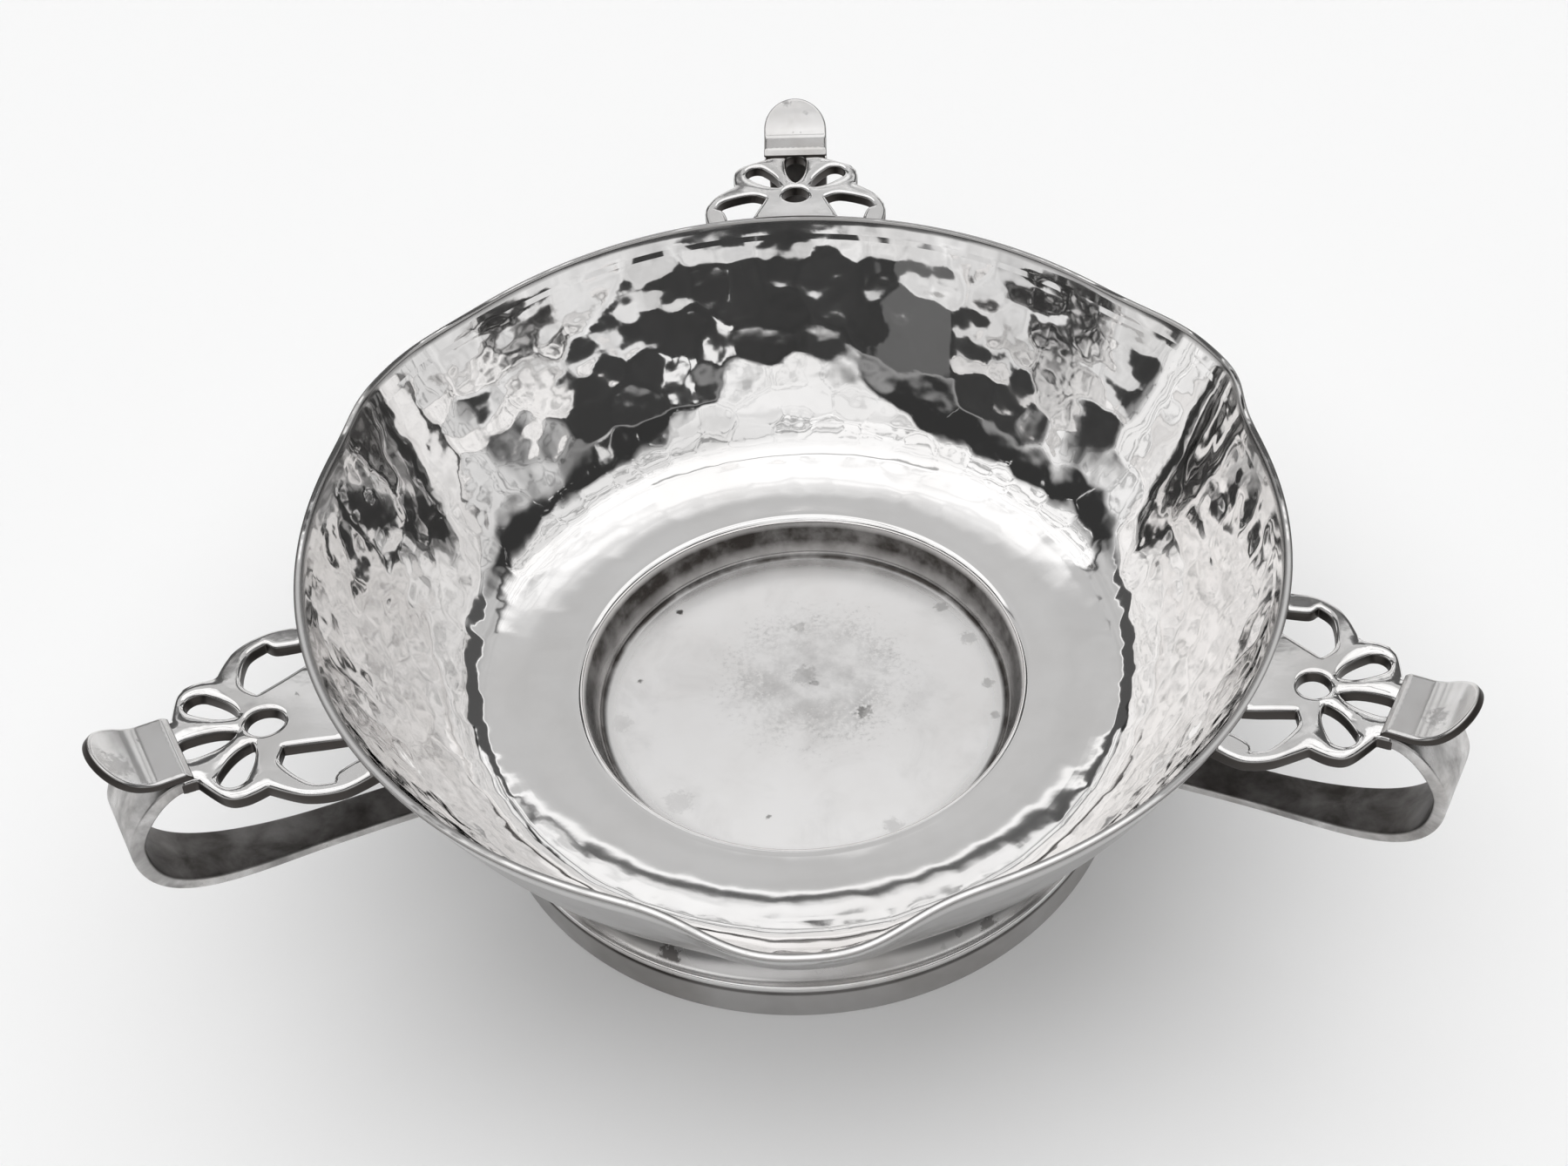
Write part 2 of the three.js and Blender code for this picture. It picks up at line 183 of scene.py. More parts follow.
# Angles are in degrees. A noise is (scale, detail, roughness, distortion), a stripe is (middle,
# half width, soft edge), and a fade is (where the change starts, where it ends).
studioValues = dict(
    broad=(2.6, 3, 0.55),
    fine=(9.0, 3, 0.6),
    lowest=0.04,                    # height under which the ceiling is cut off
    fineShare=0.5,
    wobble=0.16,                    # how uneven all borders are
    wobbleOf=(0.3, 30, 60),         # its share in along, elevation and azimuth
    dark=0.035,                     # seams, posts, lines and streaks
    lines=(5.0, 3, 0.6, 1.5),       # thin wandering lines
    lineFade=(0.03, 0.006),
    lineStrength=0.65,
    ceiling=1.14,                   # white cloth overhead, darker towards the front
    ceilingFront=0.92,
    ceilingFade=(-0.1, 0.8),
    ceilingClouds=0.25,
    ceilingLines=0.45,
    ceilingLineFade=(76, 62),
    upper=(0.8, 0.2, 0.7),          # the panel's upper border, its fall, and where the fall ends
    upperFade=(-0.04, 0.05),
    seam=(0.02, 0.03, 0.03),        # half width in the middle, its growth, soft edge
    seamSides=(0.08, 0.35),
    panel=0.56,                     # grey panel behind the bowl
    panelGrain=0.12,
    panelClouds=0.4,
    lower=(1.03, 0.03),             # the panel's lower border and its growth
    lowerFade=(0.0, 0.02),
    lowerLine=(0.01, 0.01, 0.012),  # bright line along that border
    gap=(0.045, 0.8),               # dark gap under the line, wider to the sides
    gapFade=(0.02, -0.01),
    gapTone=0.0875,
    window=0.95,                    # bright field under the gap
    windowGrain=0.7,
    # a post is a stripe and the elevation of its top
    posts=[(-30, 4.0, 3.0, 42), (56, 6.0, 4.0, 40), (11, 0.8, 1.5, 36), (29, 0.8, 1.5, 36)],
    postFade=6,
    rails=[(20, 0.7, 1.0), (34, 0.7, 1.0)],
    railStrength=0.75,
    arc=(72.5, 1.3, 0.8),           # thin dark arc high at the back
    arcSides=(-15, 45, 20),
    arcStrength=0.6,
    side=1.05,                      # light sides, darker on the right
    sideRight=0.22,
    sideRightFade=(-20, 20),
    sideGrain=0.4,
    sideFade=(60, 68),
    sideTop=(64, 54),
    streaks=(1.3, 3, 0.6, 1.0),     # dark uneven streaks low at the sides
    streakStretch=(7.0, 7.0, 3.5),
    streakLevel=0.445,
    streakFade=(-0.03, 0.04),
    streakMore=0.11,
    streakMoreFade=(42, 34),
    streakTop=(43, 35),
    streakFoot=(18, 25),
    streakFootShare=0.15,
    frontFade=(104, 116),
    frontCeiling=(206, 218),        # the azimuth plus twice the elevation
    frontCeilingTop=(44, 36),
    frontBand=0.045,                # dark opening at the front
    frontGrain=0.03,
    bandTop=(23, 20),
    bandFoot=(8.2, 9.4),
    doorway=(-146, 8, 2.0),
    doorwayTone=0.09,
    # a pane is (azimuth, elevation, half width, half height)
    panes=[(163, 16.8, 3.0, 1.6), (151, 18.5, 2.2, 0.9), (146, 17.0, 1.2, 0.7)],
    paneSoft=(0.8, 0.5),
    lowFront=0.74,                  # light floor under the opening
    lowFrontGrain=0.9,
    backdrop=0.95,                  # what the camera sees past the floor's edge
    floorTone=0.92,
    floorRoughness=0.9,
    floorShine=0.1,
    floorReach=6.0,
    lampStrength=1.05,
    lampAngle=100,
)


# The light round the bowl, as a function of direction alone. A direction with height z meets a
# ceiling one metre up at across = |x/z| and along = y/z, where the panel's borders are straight
# lines. All other borders are elevations, or azimuths counted from the back.
def makeStudio(v):
    world = bpy.data.worlds.new("studio")
    bpy.context.scene.world = world
    world.use_nodes = True
    tree = world.node_tree
    tree.nodes.clear()
    start = Wire(tree)
    direction = start.make("ShaderNodeTexCoord", output="Generated")
    x, y, z = direction.xyz()
    broad = direction.noise(*v["broad"]) - 0.5
    fine = direction.noise(*v["fine"]) - 0.5
    unrest = (broad + fine * v["fineShare"]) * v["wobble"]
    alongShare, elevationShare, azimuthShare = v["wobbleOf"]
    height = z.larger(v["lowest"])
    across = abs(x / height)
    along = y / height + unrest * alongShare
    elevation = z.math("ARCSINE", z) * (180 / np.pi) + unrest * elevationShare
    azimuth = x.math("ARCTAN2", x, y) * (180 / np.pi) + unrest * azimuthShare
    turned = abs(azimuth)
    lines = abs(direction.noise(*v["lines"]) - 0.5).rise(*v["lineFade"]) * v["lineStrength"]

    # ceiling
    towardsFront = (0 - y).rise(*v["ceilingFade"])
    ceiling = towardsFront.blend(v["ceiling"], v["ceilingFront"]) + broad * v["ceilingClouds"]
    ceiling = ceiling - lines * elevation.rise(*v["ceilingLineFade"]) * v["ceilingLines"]

    # panel behind, between a dark seam and a bright line
    upperMiddle, upperFall, fallEnd = v["upper"]
    upper = upperMiddle - across.smaller(fallEnd) * upperFall
    lower = v["lower"][0] + across * v["lower"][1]
    seamWidth, seamGrowth, seamSoft = v["seam"]
    seam = along.stripe(upper, across * seamGrowth + seamWidth, seamSoft)
    seam = seam * across.rise(*v["seamSides"])
    panel = v["panel"] + fine * v["panelGrain"] + broad * v["panelClouds"]
    panel = seam.blend(panel, v["dark"])
    below = along - lower

    # bright field under the panel, with a dark gap, posts and rails
    bars = lines
    for middle, halfWidth, soft, top in v["posts"]:
        under = elevation.rise(top, top - v["postFade"])
        post = azimuth.stripe(middle, halfWidth, soft) * under
        bars = bars.larger(post)
    for rail in v["rails"]:
        bars = bars.larger(elevation.stripe(*rail) * v["railStrength"])
    field = bars.blend(v["window"] + fine * v["windowGrain"], v["dark"])
    gap = (below - v["gap"][0] - across * v["gap"][1]).rise(*v["gapFade"])
    field = gap.blend(field, v["gapTone"])
    behind = below.rise(*v["lowerFade"]).blend(panel, field)
    behind = below.stripe(*v["lowerLine"]).blend(behind, v["ceiling"])
    light = (along - upper).rise(*v["upperFade"]).blend(ceiling, behind)
    arc = elevation.stripe(*v["arc"]) * azimuth.stripe(*v["arcSides"]) * v["arcStrength"]
    light = arc.blend(light, v["dark"])

    # sides
    stretch = {0: direction, 1: v["streakStretch"]}
    tall = direction.make("ShaderNodeVectorMath", {"operation": "MULTIPLY"}, stretch)
    more = elevation.rise(*v["streakMoreFade"]) * v["streakMore"]
    streaks = (tall.noise(*v["streaks"]) - v["streakLevel"] + more).rise(*v["streakFade"])
    footShare = v["streakFootShare"]
    low = elevation.rise(*v["streakFoot"]) * (1 - footShare) + footShare
    low = elevation.rise(*v["streakTop"]) * low
    side = v["side"] - azimuth.rise(*v["sideRightFade"]) * v["sideRight"] + fine * v["sideGrain"]
    side = (streaks * low).larger(lines).blend(side, v["dark"])
    atSide = turned.rise(*v["sideFade"]) * elevation.rise(*v["sideTop"])
    light = atSide.blend(light, side)

    # front
    front = turned.rise(*v["frontFade"])
    overFront = (turned + elevation * 2).rise(*v["frontCeiling"])
    light = (overFront * elevation.rise(*v["frontCeilingTop"])).blend(light, ceiling)
    band = elevation.rise(*v["bandTop"]) * elevation.rise(*v["bandFoot"]) * front
    doorway = azimuth.stripe(*v["doorway"]) * v["doorwayTone"]
    opening = v["frontBand"] + fine * v["frontGrain"] + doorway
    for turn, lift, halfWidth, halfHeight in v["panes"]:
        pane = azimuth.stripe(turn, halfWidth, v["paneSoft"][0])
        pane = pane * elevation.stripe(lift, halfHeight, v["paneSoft"][1])
        opening = pane.blend(opening, v["window"])
    light = band.blend(light, opening)
    lowFront = elevation.rise(*v["bandFoot"][::-1]) * front
    light = lowFront.blend(light, v["lowFront"] + fine * v["lowFrontGrain"])

    seen = start.make("ShaderNodeLightPath", output="Is Camera Ray")
    light = seen.blend(light, v["backdrop"])
    background = start.make("ShaderNodeBackground", inputs={"Color": light, "Strength": 1.0})
    output = tree.nodes.new("ShaderNodeOutputWorld")
    tree.links.new(background.socket, output.inputs["Surface"])


# A broad soft lamp straight above, which lights the floor and isn't seen in the metal.
def makeLamp(v):
    lamp = bpy.data.objects.new("softLamp", bpy.data.lights.new("softLamp", "SUN"))
    lamp.data.energy = v["lampStrength"]
    lamp.data.angle = np.radians(v["lampAngle"])
    lamp.visible_glossy = False
    bpy.context.scene.collection.objects.link(lamp)


# The floor: one flat square at the table's height.
def makeFloor(v):
    r = v["floorReach"]
    mesh = bpy.data.meshes.new("floor")
    corners = [(x, y, tableHeight) for x, y in [(-r, -r), (r, -r), (r, r), (-r, r)]]
    mesh.from_pydata(corners, [], [(0, 1, 2, 3)])
    floor = bpy.data.objects.new("floor", mesh)
    bpy.context.scene.collection.objects.link(floor)
    material = bpy.data.materials.new("paleFloor")
    material.use_nodes = True
    shader = material.node_tree.nodes["Principled BSDF"]
    shader.inputs["Base Color"].default_value = (v["floorTone"], v["floorTone"], v["floorTone"], 1)
    shader.inputs["Roughness"].default_value = v["floorRoughness"]
    shader.inputs["Specular IOR Level"].default_value = v["floorShine"]
    mesh.materials.append(material)


bpy.context.scene.view_settings.view_transform = "Standard"
makeStudio(studioValues)
makeFloor(studioValues)
makeLamp(studioValues)
print("studio: ready")


# What all the silver shares. A fade is (where it starts, where it ends).
silverValues = dict(
    tone=(0.94, 0.93, 0.925, 1),
    warmTone=(0.62, 0.585, 0.55, 1),
    # the colour of tarnish, which also paints shade
    tarnishAndShadeTone=(0.062, 0.056, 0.052, 1),
    cloudDetail=(4, 0.6),
    cloudFade=(0.35, 0.75),
    cloudRoughness=0.05,
    rippleDetail=3,
    poreDetail=(2, 0.5),
    spotNoise=(1100, 4, 0.7),
    spotUnrest=2.4,
    spotFade=(1.15, 0.55),
)


# Silver: one metal colour that stains and painted shade darken, a roughness they raise, a fine
# bump.
def silver(name, values, stainsAndShade, roughness=None):
    material = bpy.data.materials.new(name)
    material.use_nodes = True
    tree = material.node_tree
    shader = tree.nodes["Principled BSDF"]
    start = Wire(tree)
    place = start.make("ShaderNodeTexCoord", output="Object")
    shader.inputs["Metallic"].default_value = 1.0
    stainAndShade = stainsAndShade(start, place)
    cloudNoise = (values["cloudScale"], *silverValues["cloudDetail"])
    cloud = patches(place, cloudNoise, silverValues["cloudFade"], values["cloud"])
    soiled = cloud.tint(silverValues["tone"], silverValues["warmTone"])
    color = stainAndShade.tint(soiled, silverValues["tarnishAndShadeTone"])
    tree.links.new(color.socket, shader.inputs["Base Color"])
    if roughness:
        base = roughness(start, place)
    else:
        base = cloud * silverValues["cloudRoughness"] + values["roughness"]
    rough = base + stainAndShade * values["stainRoughness"]
    tree.links.new(rough.socket, shader.inputs["Roughness"])
    detail = values.get("rippleDetail", silverValues["rippleDetail"])
    ripple = place.noise(values["rippleScale"], detail) * values["ripple"]
    if "rippleField" in values:
        ripple = ripple * attribute(start, values["rippleField"])
    pores = place.noise(values["poreScale"], *silverValues["poreDetail"]) * values["pore"]
    inputs = {"Height": ripple + pores, "Distance": 1.0, "Strength": 1.0}
    bump = start.make("ShaderNodeBump", inputs=inputs)
    tree.links.new(bump.socket, shader.inputs["Normal"])
    return material


# Soft uneven patches: noise that rises to the strength between two levels.
def patches(place, noise, fade, strength):
    return place.noise(*noise).rise(*fade) * strength


# Round spots with uneven edges. Each spot is (x, y, z, radius, strength), in millimetres.
def spots(place, places):
    ragged = (place.noise(*silverValues["spotNoise"]) - 0.5) * silverValues["spotUnrest"]
    total = 0.0
    for px, py, pz, radius, strength in places:
        inputs = {0: place, 1: (px * mm, py * mm, pz * mm)}
        away = place.make("ShaderNodeVectorMath", {"operation": "DISTANCE"}, inputs, 1)
        spot = (away / (radius * mm) + ragged).rise(*silverValues["spotFade"])
        total = total + spot * strength
    return total


# A value that the mesh carries at each point.
def attribute(start, name):
    return start.make("ShaderNodeAttribute", {"attribute_name": name}, output="Fac")


# A mesh with smooth faces that point outwards, with its attributes, its material and its node.
def makePiece(name, points, faces, material, node, fields=None):
    mesh = bpy.data.meshes.new(name)
    mesh.from_pydata(points.tolist(), [], faces)
    mesh.polygons.foreach_set("use_smooth", np.ones(len(mesh.polygons), dtype=bool))
    for key, values in (fields or {}).items():
        data = mesh.attributes.new(key, "FLOAT", "POINT").data
        data.foreach_set("value", values.astype(np.float32).ravel())
    mesh.calc_loop_triangles()
    corners = np.empty(len(mesh.loop_triangles) * 3, np.int32)
    mesh.loop_triangles.foreach_get("vertices", corners)
    a, b, c = points[corners.reshape(-1, 3)].transpose(1, 0, 2)
    if (a * np.cross(b, c)).sum() < 0:
        mesh.flip_normals()
    mesh.update()
    mesh.materials.append(material)
    piece = bpy.data.objects.new(name, mesh)
    bpy.context.scene.collection.objects.link(piece)
    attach(piece, "root")
    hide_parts(node)
    return piece


# Faces of a grid of rows by columns whose columns close on themselves. With poles, the first and
# the last row are one point each, numbered before and after the grid's own points.
def wrappedFaces(rows, columns, poles):
    first = 1 if poles else 0
    here = first + np.arange(rows * columns).reshape(rows, columns)
    beside = np.roll(here, -1, axis=1)
    faces = np.stack([here[:-1], here[1:], beside[1:], beside[:-1]], -1).reshape(-1, 4).tolist()
    if poles:
        last = first + rows * columns
        faces += np.stack([np.zeros(columns, int), here[0], beside[0]], -1).tolist()
        faces += np.stack([np.full(columns, last), beside[-1], here[-1]], -1).tolist()
    return faces


# Points of a path of straight lines whose corners are rounded: each corner's curve is a quadratic
# that leaves and meets the lines at the given reach. The steps say how many points each line and
# corner get.
def roundedPath(corners, reaches, lineSteps, cornerSteps):
    corners = np.array(corners, float)
    points = [corners[:1]]
    here = corners[0]
    for i in range(1, len(corners)):
        towards = corners[i] - corners[i - 1]
        towards = towards / np.linalg.norm(towards)
        reach = reaches[i]
        there = corners[i] - towards * reach
        share = np.linspace(0, 1, lineSteps[i - 1] + 1)[1:, None]
        points.append(here + (there - here) * share)
        here = there
        if reach > 0:
            onward = corners[i + 1] - corners[i]
            end = corners[i] + onward / np.linalg.norm(onward) * reach
            share = np.linspace(0, 1, cornerSteps + 1)[1:, None]
            points.append(bezier([here, corners[i], end], share))
            here = end
    return np.vstack(points)


# A quadratic or cubic curve from its control points, at shares from 0 to 1.
def bezier(controls, share):
    rest = 1 - share
    if len(controls) == 3:
        weights = [rest ** 2, 2 * share * rest, share ** 2]
    else:
        weights = [rest ** 3, 3 * share * rest ** 2, 3 * share ** 2 * rest, share ** 3]
    return sum(weight * np.array(point) for weight, point in zip(weights, controls))


# A bend between two points that leaves and arrives at given slopes, in degrees.
def bend(start, startSlope, end, endSlope, share):
    a, b = np.tan(np.radians([startSlope, endSlope]))
    run = (end[1] - start[1] - (end[0] - start[0]) * b) / (a - b)
    middle = (start[0] + run, start[1] + run * a)
    return bezier([start, middle, end], share[:, None])


# Unit normals to the left of a path of points.
def leftNormals(path):
    along = np.gradient(path, axis=0)
    along /= np.linalg.norm(along, axis=1)[:, None]
    return np.stack([-along[:, 1], along[:, 0]], 1)


# Length along a path, at each of its points.
def pathLength(path):
    return np.concatenate([[0], np.cumsum(np.linalg.norm(np.diff(path, axis=0), axis=1))])


# tt(3 - 2t), with t going from 0 at low to 1 at high.
def smoothStep(value, low, high):
    share = np.clip((value - low) / (high - low), 0, 1)
    return share * share * (3 - 2 * share)


# Slopes are in degrees. A fade is (where it starts, where it ends), and steps say how many points
# the lines and corners of a stretch of the profile get.
bowl = dict(
    around=480,
    floorRadius=52.8 * mm,
    floorSlope=5.0,
    floorSag=0.3 * mm,       # the sag of the ring round the well
    bendSlope=9.4,           # the wall's slope where it leaves the floor
    rimSlope=70.0,
    wellRadius=37.2 * mm,
    wellDepth=7.7 * mm,
    wellDraft=2.3 * mm,
    wellFillet=1.3 * mm,
    wellEdge=0.9 * mm,
    rimRound=0.28 * mm,
    floorSteps=([14, 5, 15], 6),
    rimSteps=([3, 3, 2], 5),
    underSteps=([8, 4, 8], 4),
    wallSteps=74,
    outerSteps=44,
    wallSamples=200,
    satinFade=(2.2 * mm, 0.4 * mm),
    # painted shade on the well's wall: where it fades in, its strength and a dark line at its foot
    wellShadeFade=(1.6 * mm, 0.5 * mm),
    wellShadeTop=(0.08, 0.24),
    wellShade=(1.05, 0.42),          # at the top, and its fall
    wellShadeFoot=(0.5, 0.85),
    wellShadeLine=(0.45, 0.96, 0.05),     # strength, share of the depth, width
    outerWorked=0.5,
    # widths of the painted shade lines along the rim's inner and outer edges
    rimShadeInside=(0.2 * mm, 0.45 * mm),
    rimShadeOutside=(0.25 * mm, 0.5 * mm),
)

# The rim's form. Each lip is (direction in degrees, share of the full reach).
rim = dict(
    lips=[(270.8, 0.965), (27.3, 1.144), (151.9, 0.613)],
    lipReach=4.8 * mm,
    lipDrop=1.9 * mm,
    lipWidth=10.56,
    lipSharpness=2.77,
    oval=1.05 * mm,
    ovalTurn=0.32 * mm,
    sideways=0.47 * mm,
    backwards=0.16 * mm,
    threefold=0.37 * mm,
)

# Hammer marks and the slow unevenness under them. The wall has them in full, the ring round the
# well and the outside only a share.
marks = dict(
    pitch=6.2 * mm,
    scatter=0.34,
    domeRadius=78 * mm,
    domeSpread=0.35,
    lean=0.016,
    height=0.006 * mm,
    soften=0.010 * mm,
    waves=9,
    waveTurns=(3, 19),
    waveClimb=24 * mm,
    waveCalm=6,
    waveHeight=0.05 * mm,
    wallFade=(-7 * mm, 6 * mm),
    wallGather=1.5,
    ringShare=0.11,
    ringFade=(1 * mm, 4 * mm),
    rimCalm=0.2,
    rimCalmReach=4 * mm,
    outerShare=0.35,
    outerFade=(2 * mm, 9 * mm),
    seed=11,
)


# How far the rim stands out past its round, and how far it drops: lips of
# exp(-(angle/width)^sharpness), a twofold oval, a threefold swell and a small shift.
def rimForm(angle, v):
    reach = np.zeros_like(angle)
    drop = np.zeros_like(angle)
    for direction, share in v["lips"]:
        turn = (angle - np.radians(direction) + np.pi) % (2 * np.pi) - np.pi
        away = np.degrees(np.abs(turn))
        swell = share * np.exp(-((away / v["lipWidth"]) ** v["lipSharpness"]))
        reach += v["lipReach"] * swell
        drop += v["lipDrop"] * swell
    reach += -v["oval"] * np.cos(2 * angle) - v["ovalTurn"] * np.sin(2 * angle)
    reach += v["sideways"] * np.cos(angle) - v["backwards"] * np.sin(angle)
    reach += -v["threefold"] * np.cos(3 * (angle + np.pi / 2))
    return reach, drop


# Hammer marks: rows of shallow domes, each with its own centre, height and lean. The surface is the
# soft maximum of the nine domes round a point, soften * log(sum(exp(dome / soften))).
def hammerMarks(angle, along, radius, v, seed):
    rng = np.random.default_rng(seed)
    rows = int(np.ceil(along.max() / v["pitch"])) + 2
    middles = (np.arange(rows) + 0.5) * v["pitch"]
    rowRadius = np.interp(middles, along[:, 0], radius[:, 0])
    counts = np.round(2 * np.pi * rowRadius / v["pitch"]).astype(int)
    table = rng.uniform(-1, 1, (rows, counts.max(), 6))
    row = np.floor(along / v["pitch"]).astype(int)
    total = 0
    for rowStep in (-1, 0, 1):
        rowIndex = np.clip(row + rowStep, 0, rows - 1)
        count = counts[rowIndex]
        column = np.floor(angle / (2 * np.pi) * count).astype(int)
        for columnStep in (-1, 0, 1):
            mark = table[rowIndex, (column + columnStep) % count]
            centre = column + columnStep + 0.5 + v["scatter"] * mark[..., 0]
            du = (angle - centre * 2 * np.pi / count) * radius
            dv = along - (rowIndex + 0.5 + v["scatter"] * mark[..., 1]) * v["pitch"]
            lean = v["lean"] * (mark[..., 2] * du + mark[..., 3] * dv)
            domeRadius = v["domeRadius"] * (1 + v["domeSpread"] * mark[..., 4])
            curve = (du ** 2 + dv ** 2) / (2 * domeRadius)
            total = total + np.exp((v["height"] * mark[..., 5] + lean - curve) / v["soften"])
    return v["soften"] * np.log(total)


# Slow waves: a sum of cosines with seeded turns round the bowl and up the wall.
def slowWaves(angle, along, v, seed):
    rng = np.random.default_rng(seed)
    total = 0
    for _ in range(v["waves"]):
        turns = rng.integers(*v["waveTurns"])
        climb = rng.uniform(-1, 1) * 2 * np.pi / v["waveClimb"]
        wave = np.cos(turns * angle + climb * along + rng.uniform(0, 2 * np.pi))
        total = total + wave / (1 + turns / v["waveCalm"])
    return v["waveHeight"] * total / np.sqrt(v["waves"])


# The wall's outer and inner curves, as distance from the axis and height, and the inward normals.
def wallCurves(v, share):
    ringWidth = v["floorRadius"] - v["wellRadius"]
    floorTop = v["wellDepth"] + ringWidth * np.tan(np.radians(v["floorSlope"]))
    foot = (v["floorRadius"], floorTop - sheet / np.cos(np.radians(v["floorSlope"])))
    outside = bend(foot, v["bendSlope"], (rimRadius, rimHeight), v["rimSlope"], share)
    normals = leftNormals(outside)
    return outside, outside + normals * sheet, normals


# The profile runs from the middle of the floor up the inside, over the rim, down the outside and
# back to the axis. Part numbers its five sections, towards is the direction that marks move a row
# in, and climb is how far up the wall a row is.
def bowlProfile(v):
    _, inside, inward = wallCurves(v, np.linspace(0, 1, v["wallSteps"] + 1))
    outside, _, outsideInward = wallCurves(v, np.linspace(0, 1, v["outerSteps"] + 1))
    bottom = v["wellRadius"] - v["wellDraft"]
    edge = (v["wellRadius"], v["wellDepth"])
    corners = [(0, 0), (bottom, 0), edge, inside[0]]
    floor = roundedPath(corners, [0, v["wellFillet"], v["wellEdge"], 0], *v["floorSteps"])
    across = np.clip((floor[:, 0] - edge[0]) / (inside[0][0] - edge[0]), 0, 1)
    floor[:, 1] -= v["floorSag"] * 4 * across * (1 - across)
    rise = np.array([np.cos(np.radians(v["rimSlope"])), np.sin(np.radians(v["rimSlope"]))])
    innerEdge = inside[-1] + rise * (rimHeight - inside[-1][1]) / rise[1]
    corners = [inside[-4], innerEdge, outside[-1], outside[-3]]
    over = roundedPath(corners, [0, v["rimRound"], v["rimRound"], 0], *v["rimSteps"])
    slope = np.tan(np.radians(v["floorSlope"]))
    shoulder = (edge[0] + sheet, edge[1] + sheet * slope - sheet)
    corners = [outside[0], shoulder, (bottom + sheet, -sheet), (0, -sheet)]
    under = roundedPath(corners, [0, v["wellEdge"], v["wellFillet"], 0], *v["underSteps"])
    sections = [floor[1:-1], inside[:-4], over, outside[:-3][::-1], under[1:-1]]
    profile = np.vstack(sections)
    part = np.repeat(np.arange(5), [len(section) for section in sections])
    towards = np.tile([0.0, 1.0], (len(profile), 1))
    climb = np.zeros(len(profile))
    towards[part == 1], climb[part == 1] = inward[:-4], pathLength(inside)[:-4]
    towards[part == 2], climb[part == 2] = inward[-1], pathLength(inside)[-1]
    towards[part == 3] = outsideInward[:-3][::-1]
    climb[part == 3] = pathLength(outside)[:-3][::-1]
    return profile, part, towards, climb, (innerEdge, outside[-1], outside[0, 1])


# What the finish reads, one value a row: satin on the well's floor, painted shade on the well's
# wall (dark at the top, lighter further down, with a dark line at the foot), how much a row is
# hammered, painted shade lines along the rim's two edges, and the outside.
def bowlFields(v, profile, part, worked, innerEdge, outerEdge):
    bottom = v["wellRadius"] - v["wellDraft"]
    satin = 1 - smoothStep(profile[:, 0], *(bottom - reach for reach in v["satinFade"]))
    deep = 1 - profile[:, 1] / v["wellDepth"]
    shade, shadeFall = v["wellShade"]
    shade = shade - shadeFall * smoothStep(deep, *v["wellShadeFoot"])
    strength, middle, width = v["wellShadeLine"]
    wellWallShade = smoothStep(deep, *v["wellShadeTop"]) * shade
    wellWallShade += strength * np.exp(-(((deep - middle) / width) ** 2))
    wellWallShade *= smoothStep(profile[:, 0], *(bottom - reach for reach in v["wellShadeFade"]))
    inset = np.abs(profile - innerEdge).max(1)
    outset = np.abs(profile - outerEdge).max(1)
    inset = 1 - smoothStep(inset, *v["rimShadeInside"])
    outset = 1 - smoothStep(outset, *v["rimShadeOutside"])
    return {
        "satin": satin * (part == 0),
        "wellWallShade": wellWallShade * (part == 0),
        "worked": worked,
        "rimShadeLine": np.maximum(inset, outset) * (part == 2),
        "outside": part >= 3,
    }


# The bowl is a profile turned about Z: radius and height come from the profile, plus the rim's form
# times how high the point is on the wall, plus waves and hammer marks along the sheet's normal.
def makeBowl(v, material):
    profile, part, towards, climb, (innerEdge, outerEdge, wallFoot) = bowlProfile(v)
    within = part <= 1
    without = part == 3
    angle = np.linspace(0, 2 * np.pi, v["around"], endpoint=False)[None, :]
    raised = np.clip((profile[:, 1:] - wallFoot) / (rimHeight - wallFoot), 0, 1)
    raised[(part == 0) | (part == 4)] = 0
    reach, drop = rimForm(angle, rim)
    upWall = np.where(part == 0, profile[:, 0] - v["floorRadius"], climb)
    onWall = smoothStep(upWall, *marks["wallFade"])
    onWall[part == 4] = 0
    shift = slowWaves(angle, climb[:, None], marks, marks["seed"]) * onWall[:, None]
    along = pathLength(profile[within])[:, None]
    inner = hammerMarks(angle, along, profile[within, :1], marks, marks["seed"] + 1)
    pastWell = profile[within, 0] - v["wellRadius"]
    share = marks["ringShare"] * smoothStep(pastWell, *marks["ringFade"])
    share = np.maximum(share, onWall[within] ** marks["wallGather"])
    top = climb.max()
    share *= 1 - marks["rimCalm"] * smoothStep(climb[within], top - marks["rimCalmReach"], top)
    shift[within] += inner * share[:, None]
    along = climb[without][:, None]
    outer = hammerMarks(angle, along, profile[without, :1], marks, marks["seed"] + 2)
    shift[without] -= outer * marks["outerShare"] * smoothStep(along, *marks["outerFade"])
    radius = profile[:, :1] + raised * reach + towards[:, :1] * shift
    height = profile[:, 1:] - raised * drop + towards[:, 1:] * shift
    points = np.stack([radius * np.cos(angle), radius * np.sin(angle), height], -1)
    points = np.vstack([[0, 0, 0], points.reshape(-1, 3), [0, 0, -sheet]])
    worked = np.where(part >= 2, v["outerWorked"], 0.0)
    worked[within] = share
    poles = {"satin": (1, 0), "outside": (0, 1)}
    fields = bowlFields(v, profile, part, worked, innerEdge, outerEdge)
    for key, values in fields.items():
        first, last = poles.get(key, (0, 0))
        fields[key] = np.concatenate([[first], np.repeat(values, v["around"]), [last]])
    faces = wrappedFaces(len(profile), v["around"], True)
    makePiece("hammeredBowl", points, faces, material, "bowl_body", fields)


